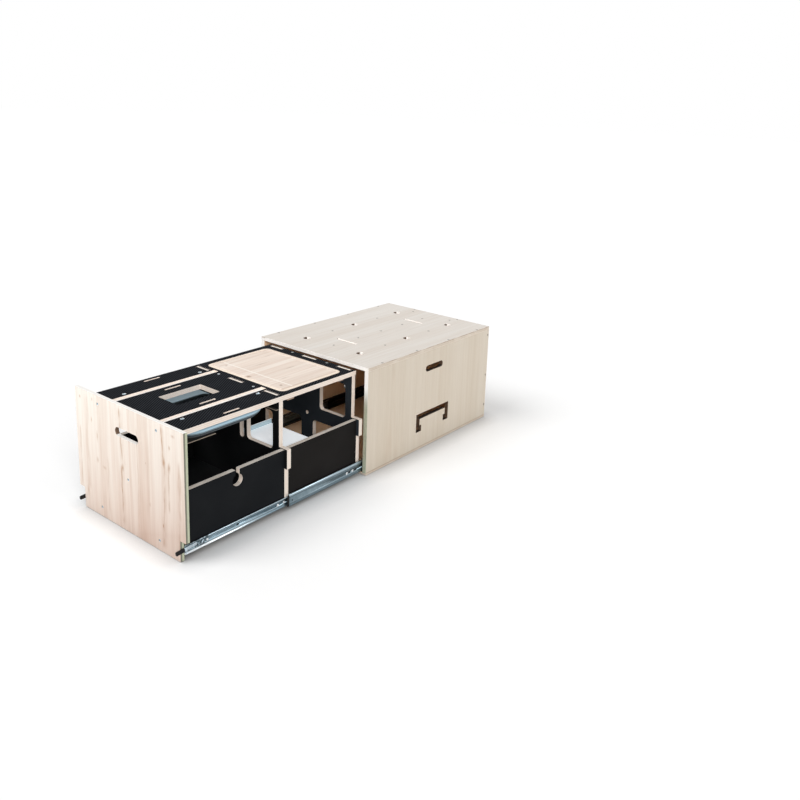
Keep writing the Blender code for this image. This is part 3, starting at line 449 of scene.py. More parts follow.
for board, makeup in CASE_BOARDS.items():
    made, tree, shader, place, face, colour = plywood(board, *makeup)
    low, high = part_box(board)
    spot, at, facing = surface(tree)
    wall = rest_of(face)
    if board == "case_top":
        # Painted shade: the deck's hole walls that look sideways are dark brown
        inner = below(amount(at["X"]), high.x - RIM_MARGIN)
        sideways = above(amount(facing["X"]), SQUARE_ON)
        colour = mix_colours(times(inner, sideways, wall), colour, HOLE_SHADE_BROWN)
        # Painted light: the deck's hole walls that look forward glow cream, though no lamp is there
        lit = times(inner, rest_of(sideways), wall)
        lit = times(lit, above(at["Y"], low.y + MOUTH_MARGIN), below(facing["Y"], -0.3))
        glow = mix_colours(lit, (0.0, 0.0, 0.0), HOLE_PAINTED_LIGHT)
        # Painted shade: a thin brown line with dark dots along the top of the deck's side edges stands for
        # the shadow gap at the seam
        seam = times(smooth_step(at["Z"], high.z - DECK_SEAM_SHADE_DEPTH, high.z), times(rest_of(inner), wall))
        seam = times(seam, smooth_step(noise(spot, (30.0, 30.0, 1.0)), 0.3, 0.6))
        colour = mix_colours(seam, colour, PAINTED_SHADE_BROWN)
        coat(shader, colour=colour, glow=glow, glow_strength=HOLE_PAINTED_LIGHT_STRENGTH)
    if board.startswith("case_side"):
        middle, half = (low.y + high.y) / 2, (high.y - low.y) / 2
        # Painted shade: the walls of the side's cut-outs are dark brown, and black where they look up or down
        within = below(amount(minus(at["Y"], middle)), half - CUT_OUT_MARGIN)
        within = times(within, below(amount(minus(at["Z"], CUT_OUT_MIDDLE)), CUT_OUT_HALF))
        inner = mix_colours(above(amount(facing["Z"]), 0.6), HOLE_SHADE_BROWN, HOLE_SHADE_BLACK)
        colour = mix_colours(times(within, wall), colour, inner)
        # Painted shade: the lower mouth edges take greenish grey plies that fade out towards the top
        shaded_green = edge_colour(place, parts(place)["Z"], SIDE_PLY, 5, *EDGE_SHADE_GREEN)["Color"]
        front = times(below(facing["Y"], -SQUARE_ON), calculate("SUBTRACT", wall, within, True))
        mouth = mix_colours(smooth_step(at["Z"], *MOUTH_EDGE_SHADE_FADE), mix_colours(0.05, shaded_green, colour), colour)
        # Painted contact shade: the foot of each side is darkened towards brown
        foot = rest_of(smooth_step(at["Z"], *(low.z + rise for rise in FOOT_SHADE_BAND)))
        colour = mix_colours(times(foot, 0.7), colour, PAINTED_SHADE_BROWN)
        coat(shader, colour=mix_colours(front, colour, mouth))
    ease_edges(dress(board, made), CASE_EASE)


# Screws of the case
# Small countersunk steel screws that hold the deck to its ribs, to the sides and to the
# back, driven flush with the veneer, with a cross recess in each head.

SCREW_SIDES = 20
SCREW_PITCH = 0.0016
SCREW_NECK = 0.0005
SCREW_TIP = 0.005
DECK_SCREW_RADIUS = 0.0040
DECK_SCREW_SHANK = 0.0016
DECK_SCREW_LENGTH = 0.030
RIB_SCREW_LENGTH = 0.0112
DECK_SCREW_PROUD = 0.00002
HEAD_DEPTH = 0.0025
RECESS_WIDTH = 0.0011
RECESS_DEPTH = 0.0016
BOTH = (-1, 1)
RIB_SCREW_PLACES = [(x, y) for y in (0.238, 0.488) for x in (-0.125, 0.0, 0.125)]
RIB_SCREW_PLACES += [(0.0, y) for y in (0.113, 0.363, 0.613)]
RIM_SCREW_PLACES = [(side * 0.2435, y) for side in BOTH for y in (0.083, 0.2663, 0.4497, 0.633)]
RIM_SCREW_PLACES += [(side * 0.106, 0.700) for side in BOTH]
CROSS_SCREW_PLACES = [(side * 0.090, 0.670) for side in BOTH]
SIDE_SCREW_PLACES = [(0.702, z) for z in (0.053, 0.174, 0.334)]


def make_metal_group():
    """Bright zinc plate: a faint cloud of crystals and rubbed patches."""
    inputs = {"vector": "Place", "value": "Polish", "colour": "Light Dark"}
    tree, into, out = new_group("zinc_plate", "Color Roughness Height", **inputs)
    cloud = noise(into["Place"], 45.0, 3.0, 0.55)
    colour = mix_colours(smooth_step(cloud, 0.3, 0.72), into["Light"], into["Dark"])
    rough = plus(times(cloud, 0.22), into["Polish"])
    fill(out, {"Color": colour, "Roughness": rough, "Height": noise(into["Place"], 900.0)})
    return tree


ZINC = make_metal_group()


def metal(name, light, dark, polish):
    made, tree, shader = new_material(name)
    plate = effect(ZINC, {"Place": surface(tree)[0], "Light": light, "Dark": dark, "Polish": polish})
    relief = bump(plate["Height"], 0.00004)
    coat(shader, colour=plate["Color"], rough=plate["Roughness"], relief=relief, metal=1.0)
    return made


BRIGHT_ZINC = metal("bright_zinc", (0.62, 0.72, 0.78), (0.46, 0.56, 0.62), 0.16)
DARK_STEEL = metal("dark_steel", (0.060, 0.046, 0.036), (0.035, 0.027, 0.021), 0.40)


def new_piece(name, mesh, body, material, node=None):
    """An object at the origin that holds the bmesh, rides on a body and may replace a node."""
    bmesh.ops.remove_doubles(mesh, verts=mesh.verts, dist=0.000001)
    bmesh.ops.recalc_face_normals(mesh, faces=mesh.faces)
    data = mesh_of(mesh, name)
    data.materials.append(material)
    data.shade_smooth()
    data.set_sharp_from_angle(angle=math.radians(35))
    made = placed(name, data)
    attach(made, body)
    if node:
        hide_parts(node)
    return made


def looking(outward, place):
    """The move that turns a piece's Z outward and takes it to a place."""
    return Matrix.Translation(place) @ Vector(outward).to_track_quat("Z", "Y").to_matrix().to_4x4()


def turned(profile, sides):
    """A bmesh spun round Z from a profile of radius and height."""
    mesh = bmesh.new()
    verts = [mesh.verts.new((radius, 0, height)) for radius, height in profile]
    edges = [mesh.edges.new(pair) for pair in zip(verts, verts[1:])]
    spin = {"axis": (0, 0, 1), "cent": (0, 0, 0), "steps": sides, "angle": 2 * math.pi, "use_merge": True}
    bmesh.ops.spin(mesh, geom=verts + edges, **spin)
    bmesh.ops.remove_doubles(mesh, verts=mesh.verts, dist=0.000001)
    return mesh


def round_off(mesh, geometry, width, segments=2, kind="EDGES"):
    rounding = {"affect": kind, "segments": segments, "profile": 0.5, "material": -1}
    bmesh.ops.bevel(mesh, geom=geometry, offset=width, **rounding, clamp_overlap=kind == "VERTICES")


def block(centre, size, ease=0.0, turn=Matrix()):
    """A box about a point, with its edges eased."""
    mesh = bmesh.new()
    place = Matrix.Translation(centre) @ turn @ Matrix.Diagonal((*size, 1.0))
    bmesh.ops.create_cube(mesh, size=1.0, matrix=place)
    if ease:
        round_off(mesh, mesh.edges[:], ease)
    return mesh


def carve(piece, tool_mesh):
    """Cuts the tool's shape out of the piece for good."""
    tool = placed("cutter", mesh_of(tool_mesh, "cutter"))
    cutting = piece.modifiers.new("cut", "BOOLEAN")
    cutting.operation = "DIFFERENCE"
    cutting.solver = "EXACT"
    cutting.object = tool
    graph = bpy.context.evaluated_depsgraph_get()
    result = bpy.data.meshes.new_from_object(piece.evaluated_get(graph))
    piece.modifiers.clear()
    piece.data = result
    bpy.data.objects.remove(tool, do_unlink=True)


def screw_shape(head_radius, length, shank_radius):
    """A countersunk screw along -Z with its head's top at zero and a cross recess."""
    root = shank_radius * 0.78
    profile = [(0.0, 0.0), (head_radius * 0.94, 0.0), (head_radius, -0.0002), (root, -HEAD_DEPTH)]
    for thread in range(int((length - HEAD_DEPTH - SCREW_TIP) / SCREW_PITCH)):
        top = -HEAD_DEPTH - SCREW_NECK - thread * SCREW_PITCH
        profile += [(root, top), (shank_radius, top - SCREW_PITCH * 0.4), (root, top - SCREW_PITCH * 0.8)]
    profile += [(root, -length + 0.003), (0.0, -length)]
    mesh = turned(profile, SCREW_SIDES)
    bmesh.ops.recalc_face_normals(mesh, faces=mesh.faces)
    shape = placed("screw_shape", mesh_of(mesh, "screw_shape"))
    for turn in (0, 90):
        size = (head_radius * 1.25, RECESS_WIDTH, 2 * RECESS_DEPTH)
        carve(shape, block((0, 0, 0), size, turn=Matrix.Rotation(math.radians(turn), 4, "Z")))
    data = shape.data
    bpy.data.objects.remove(shape, do_unlink=True)
    return data


def add_screw(name, shape, place, outward, body, material, node=None):
    """One screw with its head's top at a place, pointing out of the wood."""
    mesh = bmesh.new()
    mesh.from_mesh(shape)
    bmesh.ops.transform(mesh, matrix=looking(outward, place), verts=mesh.verts)
    new_piece(name, mesh, body, material, node)


long_screw = screw_shape(DECK_SCREW_RADIUS, DECK_SCREW_LENGTH, DECK_SCREW_SHANK)
short_screw = screw_shape(DECK_SCREW_RADIUS, RIB_SCREW_LENGTH, DECK_SCREW_SHANK)
deck_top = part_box("case_top")[1].z + DECK_SCREW_PROUD
deck_screws = [(place, short_screw) for place in RIB_SCREW_PLACES]
deck_screws += [(place, long_screw) for place in RIM_SCREW_PLACES]
deck_screws += [(place, short_screw) for place in CROSS_SCREW_PLACES]
for count, ((across, along), shape) in enumerate(deck_screws, 1):
    add_screw(f"deck_screw_{count:02}", shape, (across, along, deck_top), (0, 0, 1), "case", DARK_STEEL)
side_faces = {"left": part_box("case_side_left")[0].x, "right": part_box("case_side_right")[1].x}
for side, face in side_faces.items():
    outward = math.copysign(1, face)
    for count, (along, up) in enumerate(SIDE_SCREW_PLACES, 1):
        place = (face + outward * DECK_SCREW_PROUD, along, up)
        add_screw(f"back_screw_{side}_{count}", long_screw, place, (outward, 0, 0), "case", DARK_STEEL)


# Front panel
# The drawer's face: one sheet of birch plywood with the veneer upright, a hand hole routed
# through it, two notched lower corners for the slide locks and five screws.

PANEL_TONES = {"Light": (0.87, 0.75, 0.65), "Dark": (0.76, 0.60, 0.495), "Streak": (0.46, 0.245, 0.13)}
# Painted light and shade on the panel's veneer: darker at the lower right, lighter at the upper left
PANEL_FOOT_PAINTED_SHADE = (0.72, 0.665, 0.655)
PANEL_HEAD_PAINTED_LIGHT = (1.09, 1.19, 1.25)
# Painted shade: edges that look sideways, such as the hand hole's ends, take dark brown plies
PANEL_HOLE_SHADE_TONES = ((0.20, 0.125, 0.08), (0.10, 0.06, 0.04))
PANEL_EDGES = (((0.96, 0.94, 0.91), (0.88, 0.84, 0.79)), PANEL_HOLE_SHADE_TONES)
PANEL_EDGE_SPLIT = -0.0005
PANEL_EDGE_BLUR = 0.0008
PANEL_EDGE_FROM = 0.22
SCREW_SHANK = 0.002
# Each dark fleck in the veneer: across, up, half width, half height, strength
PANEL_FLECKS = [
    (-0.226, 0.342, 0.006, 0.008, 0.65),
    (-0.163, 0.350, 0.004, 0.010, 0.55),
    (-0.171, 0.287, 0.004, 0.013, 0.70),
    (-0.145, 0.244, 0.005, 0.024, 0.60),
    (-0.148, 0.172, 0.009, 0.013, 0.45),
    (-0.114, 0.158, 0.014, 0.008, 0.40),
    (-0.024, 0.188, 0.008, 0.017, 0.95),
    (0.165, 0.262, 0.009, 0.022, 1.0),
    (0.190, 0.310, 0.005, 0.010, 0.80),
    (0.187, 0.254, 0.009, 0.022, 0.75),
    (0.206, 0.346, 0.012, 0.007, 0.50),
    (0.084, 0.235, 0.003, 0.005, 0.60),
    (0.155, 0.079, 0.005, 0.009, 0.85),
    (0.098, 0.120, 0.006, 0.010, 0.35),
    (-0.205, 0.060, 0.009, 0.024, 0.45),
    (0.232, 0.215, 0.010, 0.060, 0.45),
]
# Each long brown vein: across at its foot, lean, from height, to height, width, strength
VEIN_PARTS = ("Across", "Lean", "Low", "High", "Width", "Strength")
PANEL_VEINS = [
    (-0.028, -0.030, 0.010, 0.200, 0.0052, 0.95),
    (-0.023, -0.055, 0.185, 0.366, 0.0060, 0.75),
    (0.154, 0.060, 0.010, 0.265, 0.0044, 0.85),
    (0.164, -0.085, 0.262, 0.366, 0.0040, 1.0),
    (0.182, 0.030, 0.120, 0.262, 0.0066, 0.50),
    (-0.026, -0.030, 0.010, 0.200, 0.0170, 0.30),
    (-0.022, -0.055, 0.185, 0.366, 0.0190, 0.30),
    (0.158, 0.050, 0.010, 0.265, 0.0180, 0.34),
    (0.168, -0.070, 0.240, 0.366, 0.0150, 0.30),
    (0.224, 0.020, 0.020, 0.290, 0.0090, 0.42),
    (-0.198, 0.010, 0.060, 0.360, 0.0150, 0.26),
    (-0.236, 0.030, 0.060, 0.260, 0.0070, 0.40),
    (0.045, 0.010, 0.020, 0.330, 0.0050, 0.30),
    (-0.100, 0.010, 0.020, 0.200, 0.0060, 0.28),
]
VEIN_WANDER = 0.016
VEIN_END = 0.02


def strongest(masks):
    return reduce(partial(calculate, "MAXIMUM"), masks)


def make_fleck_group():
    """A dark fleck or small knot: an uneven spot drawn out along the grain."""
    tree, into, out = new_group("fleck", "Mask", vector="Place Centre Reach", value="Strength")
    away = vector_math("SUBTRACT", into["Place"], into["Centre"])["Vector"]
    length = vector_math("LENGTH", vector_math("MULTIPLY", away, into["Reach"])["Vector"])["Value"]
    length = plus(length, times(noise(into["Place"], (70.0, 420.0, 1.0), 3.0, 0.6), 1.1))
    fill(out, {"Mask": times(rest_of(smooth_step(length, 0.45, 1.5)), into["Strength"])})
    return tree


def make_vein_group():
    """A long thin vein along the grain that leans, wanders and breaks."""
    tree, into, out = new_group("vein", "Mask", vector="Place", value=" ".join(VEIN_PARTS))
    at = parts(into["Place"])
    along = minus(at["X"], into["Low"])
    wander = minus(noise(into["Place"], (9.0, 3.0, 1.0), 3.0), 0.5)
    line = plus(into["Across"], times(along, into["Lean"]), times(wander, VEIN_WANDER))
    off = calculate("DIVIDE", amount(minus(at["Y"], line)), into["Width"])
    off = plus(off, times(noise(into["Place"], (40.0, 500.0, 1.0)), 0.5))
    start = smooth_step(along, 0.0, VEIN_END)
    stop = smooth_step(minus(into["High"], at["X"]), 0.0, VEIN_END)
    breaks = smooth_step(noise(into["Place"], (16.0, 60.0, 1.0)), 0.25, 0.6)
    mask = times(rest_of(smooth_step(off, 0.15, 1.25)), start, stop, breaks, into["Strength"])
    fill(out, {"Mask": mask})
    return tree


FLECK = make_fleck_group()
VEIN = make_vein_group()


def add_flecks(place, colour, stain, flecks):
    """The colour with flecks, each given along and across the grain."""
    masks = []
    for along, across, half_along, half_across, strength in flecks:
        inputs = {"Place": place, "Centre": (along, across, 0.0), "Strength": strength}
        inputs["Reach"] = (1 / half_along, 1 / half_across, 0.0)
        masks.append(effect(FLECK, inputs)["Mask"])
    return mix_colours(strongest(masks), colour, stain)


def add_veins(place, colour, stain, veins):
    masks = [effect(VEIN, {"Place": place, **dict(zip(VEIN_PARTS, vein))})["Mask"] for vein in veins]
    return mix_colours(strongest(masks), colour, stain)


def panel_wood():
    makeup = ("Z", 2.6, PANEL_TONES, 3, 0.30, 0.7, 1.1, PANEL_EDGES)
    made, tree, shader, place, face, colour = plywood("front_panel", *makeup)
    flecks = [(up, across, tall, wide, strength) for across, up, wide, tall, strength in PANEL_FLECKS]
    stained = add_veins(place, colour, PANEL_TONES["Streak"], PANEL_VEINS)
    stained = add_flecks(place, stained, PANEL_TONES["Streak"], flecks)
    at = parts(place)
    # Painted light and shade: the veneer is lightened towards the upper left and darkened towards the lower
    # right
    rise = calculate("DIVIDE", minus(at["X"], times(at["Y"], 0.35)), 0.42, True)
    painted_shading = mix_colours(calculate("POWER", rise, 0.7), PANEL_FOOT_PAINTED_SHADE, PANEL_HEAD_PAINTED_LIGHT)
    rear = smooth_step(at["Z"], PANEL_EDGE_SPLIT - PANEL_EDGE_BLUR, PANEL_EDGE_SPLIT + PANEL_EDGE_BLUR)
    # Painted shade: the panel's side edges take greenish grey plies
    shaded_green = mix_colours(rear, EDGE_SHADE_GREEN[1], EDGE_SHADE_GREEN[0])
    shaded_green = tinted(shaded_green, grey(plus(times(noise(place, (60.0, 60.0, 400.0)), 0.4), 0.8)))
    sideways = above(amount(surface(tree)[2]["X"]), SQUARE_ON)
    sideways = times(sideways, above(amount(at["Y"]), PANEL_EDGE_FROM))
    colour = mix_colours(sideways, colour, shaded_green)
    coat(shader, colour=mix_colours(face, colour, tinted(stained, painted_shading)))
    return made


def swap_screw(node, outward):
    """A threaded zinc screw in the place of a plain one, with its head on the side it looks to."""
    low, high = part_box(node)
    place = [(near + far) / 2 for near, far in zip(low, high)]
    axis = max(range(3), key=lambda index: abs(outward[index]))
    place[axis] = (high if outward[axis] > 0 else low)[axis]
    shape = screw_shape((high.x - low.x) / 2, high[axis] - low[axis], SCREW_SHANK)
    add_screw(f"{node}_steel", shape, place, outward, "drawer", BRIGHT_ZINC, node)


ease_edges(dress("front_panel", panel_wood()), CASE_EASE)
for label in ("high_left", "high_right", "low_left", "low_right", "middle"):
    swap_screw(f"panel_screw_{label}", (0, -1, 0))


# Black boards of the drawer
# Birch plywood with a black phenolic film on both faces: cross dividers with ears over the
# side boards, side boards, and a floor. Every cut edge is bare and shows its light plies.

# The slate black is a lighter copy of the film, painted light for the rear divider's face, and the brown
# black carries a painted brown sheen for the rear right side board
FILM_BLACK = {
    "blue": (0.0052, 0.0062, 0.0078),
    "brown": (0.0078, 0.0066, 0.0060),
    "deep": (0.0045, 0.0047, 0.0052),
    "slate": (0.0250, 0.0300, 0.0370),
}
FILM_GLOSS = 0.031
FILM_PLIES = 5
BOARD_EASE = 0.0004
FILM_EDGES = ((0.90, 0.81, 0.73), (0.76, 0.62, 0.51))
FILM_TOP_EDGES = ((0.88, 0.82, 0.75), (0.46, 0.38, 0.31))
# The dark gaps beside the tabs that come up through the worktop: painted shade on the dividers' top edges
TAB_HALF = 0.0036
TAB_FROM = 0.345
TAB_GAP_SHADE = (0.012, 0.010, 0.009)
DRAWER_BOARDS = {
    "front_divider": ("X", "deep"),
    "mid_divider": ("X", "deep"),
    "rear_divider": ("X", "slate"),
    "side_board_front_left": ("Y", "deep"),
    "side_board_front_right": ("Y", "blue"),
    "side_board_rear_left": ("Y", "deep"),
    "side_board_rear_right": ("Y", "brown"),
    "drawer_floor": ("Y", "deep"),
}
SIDES = (("left", -1), ("right", 1))
LEG_INNER, LEG_OUTER = 0.2075, 0.2220
LEG_LOW, LEG_HIGH = 0.012, 0.139


def make_film_group():
    """Black film: nearly even, with faint clouds, fine pinholes and rubbed patches."""
    inputs = {"vector": "Place", "colour": "Black", "value": "Roughness"}
    tree, into, out = new_group("black_film", "Color Roughness Height", **inputs)
    cloud = noise(into["Place"], 7.0, 3.0)
    dust = smooth_step(noise(into["Place"], 420.0, 1.0), 0.70, 0.80)
    lighter = plus(times(cloud, 0.010), times(dust, 0.012))
    colour = mix_colours(1.0, into["Black"], grey(lighter), "ADD")
    rough = plus(into["Roughness"], times(cloud, 0.16))
    fill(out, {"Color": colour, "Roughness": rough, "Height": noise(into["Place"], (60.0, 700.0, 1.0))})
    return tree


FILM = make_film_group()


def film_board(node, grain, black, roughness=0.30, gloss=FILM_GLOSS, top_edges=FILM_TOP_EDGES):
    """Film-faced plywood for one board of the drawer."""
    made, tree, shader = new_material(f"{node}_film")
    place, depth, thickness, face = board_places(tree, node, grain)[:4]
    film = effect(FILM, {"Place": place, "Black": FILM_BLACK[black], "Roughness": roughness})
    edges = edge_colour(place, depth, thickness, FILM_PLIES, *FILM_EDGES)
    tops = edge_colour(place, depth, thickness, FILM_PLIES, *top_edges)
    _, at, facing = surface(tree)
    upward = above(facing["Z"], SQUARE_ON)
    bare = mix_colours(upward, edges["Color"], tops["Color"])
    if node.endswith("divider"):
        gap = times(above(amount(depth), TAB_HALF), upward, above(at["Z"], TAB_FROM))
        bare = mix_colours(gap, mix_colours(upward, edges["Color"], FILM_EDGES[0]), TAB_GAP_SHADE)
    colour = mix_colours(face, bare, film["Color"])
    rough = mix_values(face, 0.6, film["Roughness"])
    height = mix_values(face, edges["Height"], times(film["Height"], 0.15))
    coat(shader, colour=colour, rough=rough, relief=bump(height, PLY_RELIEF), gloss=gloss)
    return made, tree, shader, place, face, colour, height


for board, makeup in DRAWER_BOARDS.items():
    ease_edges(dress(board, film_board(board, *makeup)[0]), BOARD_EASE)
low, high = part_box("rear_divider")
for side, sign in SIDES:
    centre = (sign * (LEG_INNER + LEG_OUTER) / 2, (low.y + high.y) / 2, (LEG_LOW + LEG_HIGH) / 2)
    leg = block(centre, (LEG_OUTER - LEG_INNER, high.y - low.y, LEG_HIGH - LEG_LOW), BOARD_EASE)
    film = nodes["rear_divider"].data.materials[0]
    new_piece(f"rear_divider_leg_{side}", leg, "drawer", film)


# Worktop
# The same film-faced plywood with an anti-slip mesh pressed into its upper face. Two
# grooves, four strap holes, the tap hole and a pocket for the cutting board are routed.

MESH_PITCH = 0.0070
MESH_TURN = math.radians(57)
MESH_BLACK = (0.003, 0.0034, 0.0045)
MESH_LIT = (0.050, 0.055, 0.064)
WIRE_HEIGHT = 0.8
WORKTOP_EDGES = ((0.99, 0.975, 0.955), (0.87, 0.835, 0.80))
WORKTOP_ROUGHNESS = 0.60
WORKTOP_GLOSS = 0.008
TAP_WALL_SHADE_TONE = (1.0, 0.90, 0.82)
TAP_WALL_UP_TO = 0.19


def make_mesh_group():
    """The anti-slip film: two crossing sets of fine raised wires."""
    tree, into, out = new_group("pressed_mesh", "Height", vector="Place", value="Pitch")
    rows = []
    for turn, weight in ((MESH_TURN, 1.0), (-MESH_TURN, 0.25)):
        direction = (math.cos(turn), math.sin(turn), 0.0)
        across = vector_math("DOT_PRODUCT", into["Place"], direction)["Value"]
        wave = calculate("SINE", times(calculate("DIVIDE", across, into["Pitch"]), 2 * math.pi))
        rows.append(times(smooth_step(wave, 0.0, 1.0), weight))
    fill(out, {"Height": strongest(rows)})
    return tree


PRESSED_MESH = make_mesh_group()


def worktop_film():
    makeup = ("Y", "blue", WORKTOP_ROUGHNESS, WORKTOP_GLOSS, WORKTOP_EDGES)
    made, tree, shader, place, face, colour, height = film_board("worktop", *makeup)
    wires = effect(PRESSED_MESH, {"Place": place, "Pitch": MESH_PITCH})["Height"]
    wear = plus(times(noise(place, (30.0, 30.0, 1.0)), 0.5), 0.5)
    film = mix_colours(times(wires, wear), MESH_BLACK, MESH_LIT)
    spot, at, facing = surface(tree)
    # Painted shade: the walls inside the worktop that look right take a warmer, speckled tone than the other
    # cut edges
    left_wall = times(above(facing["X"], 0.5), below(at["X"], TAP_WALL_UP_TO))
    speck = grey(plus(times(noise(spot, 300.0), 0.6), 0.7))
    bare = mix_colours(left_wall, colour, tinted(speck, TAP_WALL_SHADE_TONE))
    raised = plus(height, times(wires, face, WIRE_HEIGHT))
    coat(shader, colour=mix_colours(face, bare, film), relief=bump(raised, PLY_RELIEF))
    return made


ease_edges(dress("worktop", worktop_film()), BOARD_EASE)
for label in ("mid_left", "mid_right", "rear_left", "rear_right"):
    swap_screw(f"worktop_screw_{label}", (0, 0, 1))


# Threaded inserts of the worktop
# Zinc-plated steel sleeves screwed flush into the worktop, each with a bore for a thumb
# screw and a slot across its face to drive it.

INSERT_BORE = 0.003
INSERT_RINGS = 6
INSERT_SLOT_WIDTH = 0.0016
INSERT_SLOT_DEPTH = 0.0015
INSERT_SLOT_OVER = 0.002


def insert_mesh(radius, length, bore):
    """A sleeve along Z with its face at zero, outer threads and a chamfered bore."""
    profile = [(bore, -length), (bore, -0.0008), (bore + 0.0006, 0.0)]
    profile += [(radius - 0.0004, 0.0), (radius, -0.0004)]
    pitch = (length - 0.002) / INSERT_RINGS
    for ring in range(INSERT_RINGS):
        top = -0.001 - ring * pitch
        profile += [(radius, top), (radius - 0.0007, top - pitch / 2)]
    profile += [(radius - 0.0004, -length), (bore, -length)]
    return turned(profile, 36)


for label in ("front_left", "front_right", "rear_left", "rear_right"):
    node = f"worktop_insert_{label}"
    low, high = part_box(node)
    centre = Vector(((low.x + high.x) / 2, (low.y + high.y) / 2, high.z))
    mesh = insert_mesh((high.x - low.x) / 2, high.z - low.z, INSERT_BORE)
    bmesh.ops.translate(mesh, verts=mesh.verts, vec=centre)
    piece = new_piece(f"{node}_steel", mesh, "drawer", BRIGHT_ZINC, node)
    carve(piece, block(centre, (high.x - low.x + INSERT_SLOT_OVER, INSERT_SLOT_WIDTH, 2 * INSERT_SLOT_DEPTH)))


# Battens and ledges
# Planed bare strips: two battens glued under the worktop carry the cutting board, and two
# thin ledges carry the wash basin.

BATTEN_TONES = {"Light": (0.50, 0.36, 0.27), "Dark": (0.36, 0.25, 0.18), "Streak": (0.20, 0.13, 0.09)}
LEDGE_TONES = {"Light": (0.34, 0.28, 0.22), "Dark": (0.24, 0.19, 0.145), "Streak": (0.12, 0.09, 0.07)}
STRIP_TOP_SHADE = (0.020, 0.018, 0.016)
PLANED_RELIEF = 0.0002
# Each strip: its tones and how much of its height is left
STRIPS = {
    "board_batten_front": (BATTEN_TONES, 0.45),
    "board_batten_rear": (BATTEN_TONES, 0.35),
    "basin_ledge_front": (LEDGE_TONES, 0.6),
    "basin_ledge_rear": (LEDGE_TONES, 0.6),
}
for count, (strip, (tones, share)) in enumerate(STRIPS.items()):
    made, tree, shader = new_material(f"{strip}_wood")
    spot, _, facing = surface(tree)
    inputs = {"Place": spot, "Seed": 3.0 + count, "Streaks": 0.3, "Strips": 0.2, "Contrast": 1.0}
    veneer = effect(VENEER, inputs | tones)
    # Painted shade: the strips' upper faces, under the worktop and the basin, are near black
    shaded_tops = mix_colours(above(facing["Z"], 0.5), veneer["Color"], STRIP_TOP_SHADE)
    coat(shader, colour=shaded_tops, relief=bump(veneer["Height"], PLANED_RELIEF), rough=0.6)
    low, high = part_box(strip)
    depth = (high.z - low.z) * share
    centre = ((low.x + high.x) / 2, (low.y + high.y) / 2, high.z - depth / 2)
    bar = block(centre, (high.x - low.x, high.y - low.y, depth), BOARD_EASE)
    new_piece(f"{strip}_planed", bar, "drawer", made, strip)


# Cutting board
# A solid board glued up from staves that run front to back, with rounded corners and eased
# edges, a thin groove round its rim and one joint across it.

BOARD_GROOVE_INSET = 0.0120
BOARD_GROOVE_WIDTH = 0.0034
BOARD_GROOVE_DEPTH = 0.0022
BOARD_EDGE_ROUND = 0.0022
BOARD_CORNER = 0.018
BOARD_CORNER_STEPS = 8
BOARD_TONES = {"Light": (0.88, 0.785, 0.70), "Dark": (0.72, 0.56, 0.455), "Streak": (0.50, 0.30, 0.20)}
BOARD_RIM = (0.93, 0.80, 0.67)
BOARD_JOINT = (0.97, 0.89, 0.81)
BOARD_JOINT_Y = -0.233
BOARD_JOINT_HALF = 0.0032
BOARD_JOINT_REACH = 0.158
BOARD_STAVE = 0.046
BOARD_FLECK_BROWN = (0.30, 0.17, 0.10)
BOARD_FLECKS = [
    (-0.268, 0.0027, 0.011, 0.013, 1.0),
    (-0.253, 0.130, 0.007, 0.009, 0.95),
    (-0.250, -0.125, 0.007, 0.008, 0.65),
    (-0.120, 0.030, 0.040, 0.005, 0.45),
    (-0.160, -0.060, 0.050, 0.005, 0.40),
    (-0.090, -0.110, 0.035, 0.005, 0.35),
    (-0.200, 0.090, 0.030, 0.005, 0.35),
]


def rounded_plate(low, high, radius, steps):
    """A flat plate with round corners, made from four corners that are bevelled."""
    mesh = bmesh.new()
    bmesh.ops.create_grid(mesh, x_segments=1, y_segments=1, size=0.5)
    middle = (low + high) / 2
    size = high - low
    bmesh.ops.scale(mesh, vec=(size.x, size.y, 1.0), verts=mesh.verts)
    bmesh.ops.translate(mesh, vec=(middle.x, middle.y, high.z), verts=mesh.verts)
    round_off(mesh, mesh.verts[:], radius, steps, "VERTICES")
    extruded = bmesh.ops.extrude_face_region(mesh, geom=mesh.faces[:])["geom"]
    moved = [item for item in extruded if isinstance(item, bmesh.types.BMVert)]
    bmesh.ops.translate(mesh, vec=(0, 0, low.z - high.z), verts=moved)
    bmesh.ops.recalc_face_normals(mesh, faces=mesh.faces)
    mesh.normal_update()
    return mesh


def face_towards(mesh, direction):
    """The face that looks in a direction and lies furthest along it, the largest of them."""
    square = [face for face in mesh.faces if face.normal.dot(direction) > 0.9]
    return max(square, key=lambda face: face.calc_center_median().dot(direction) * 10 + face.calc_area())


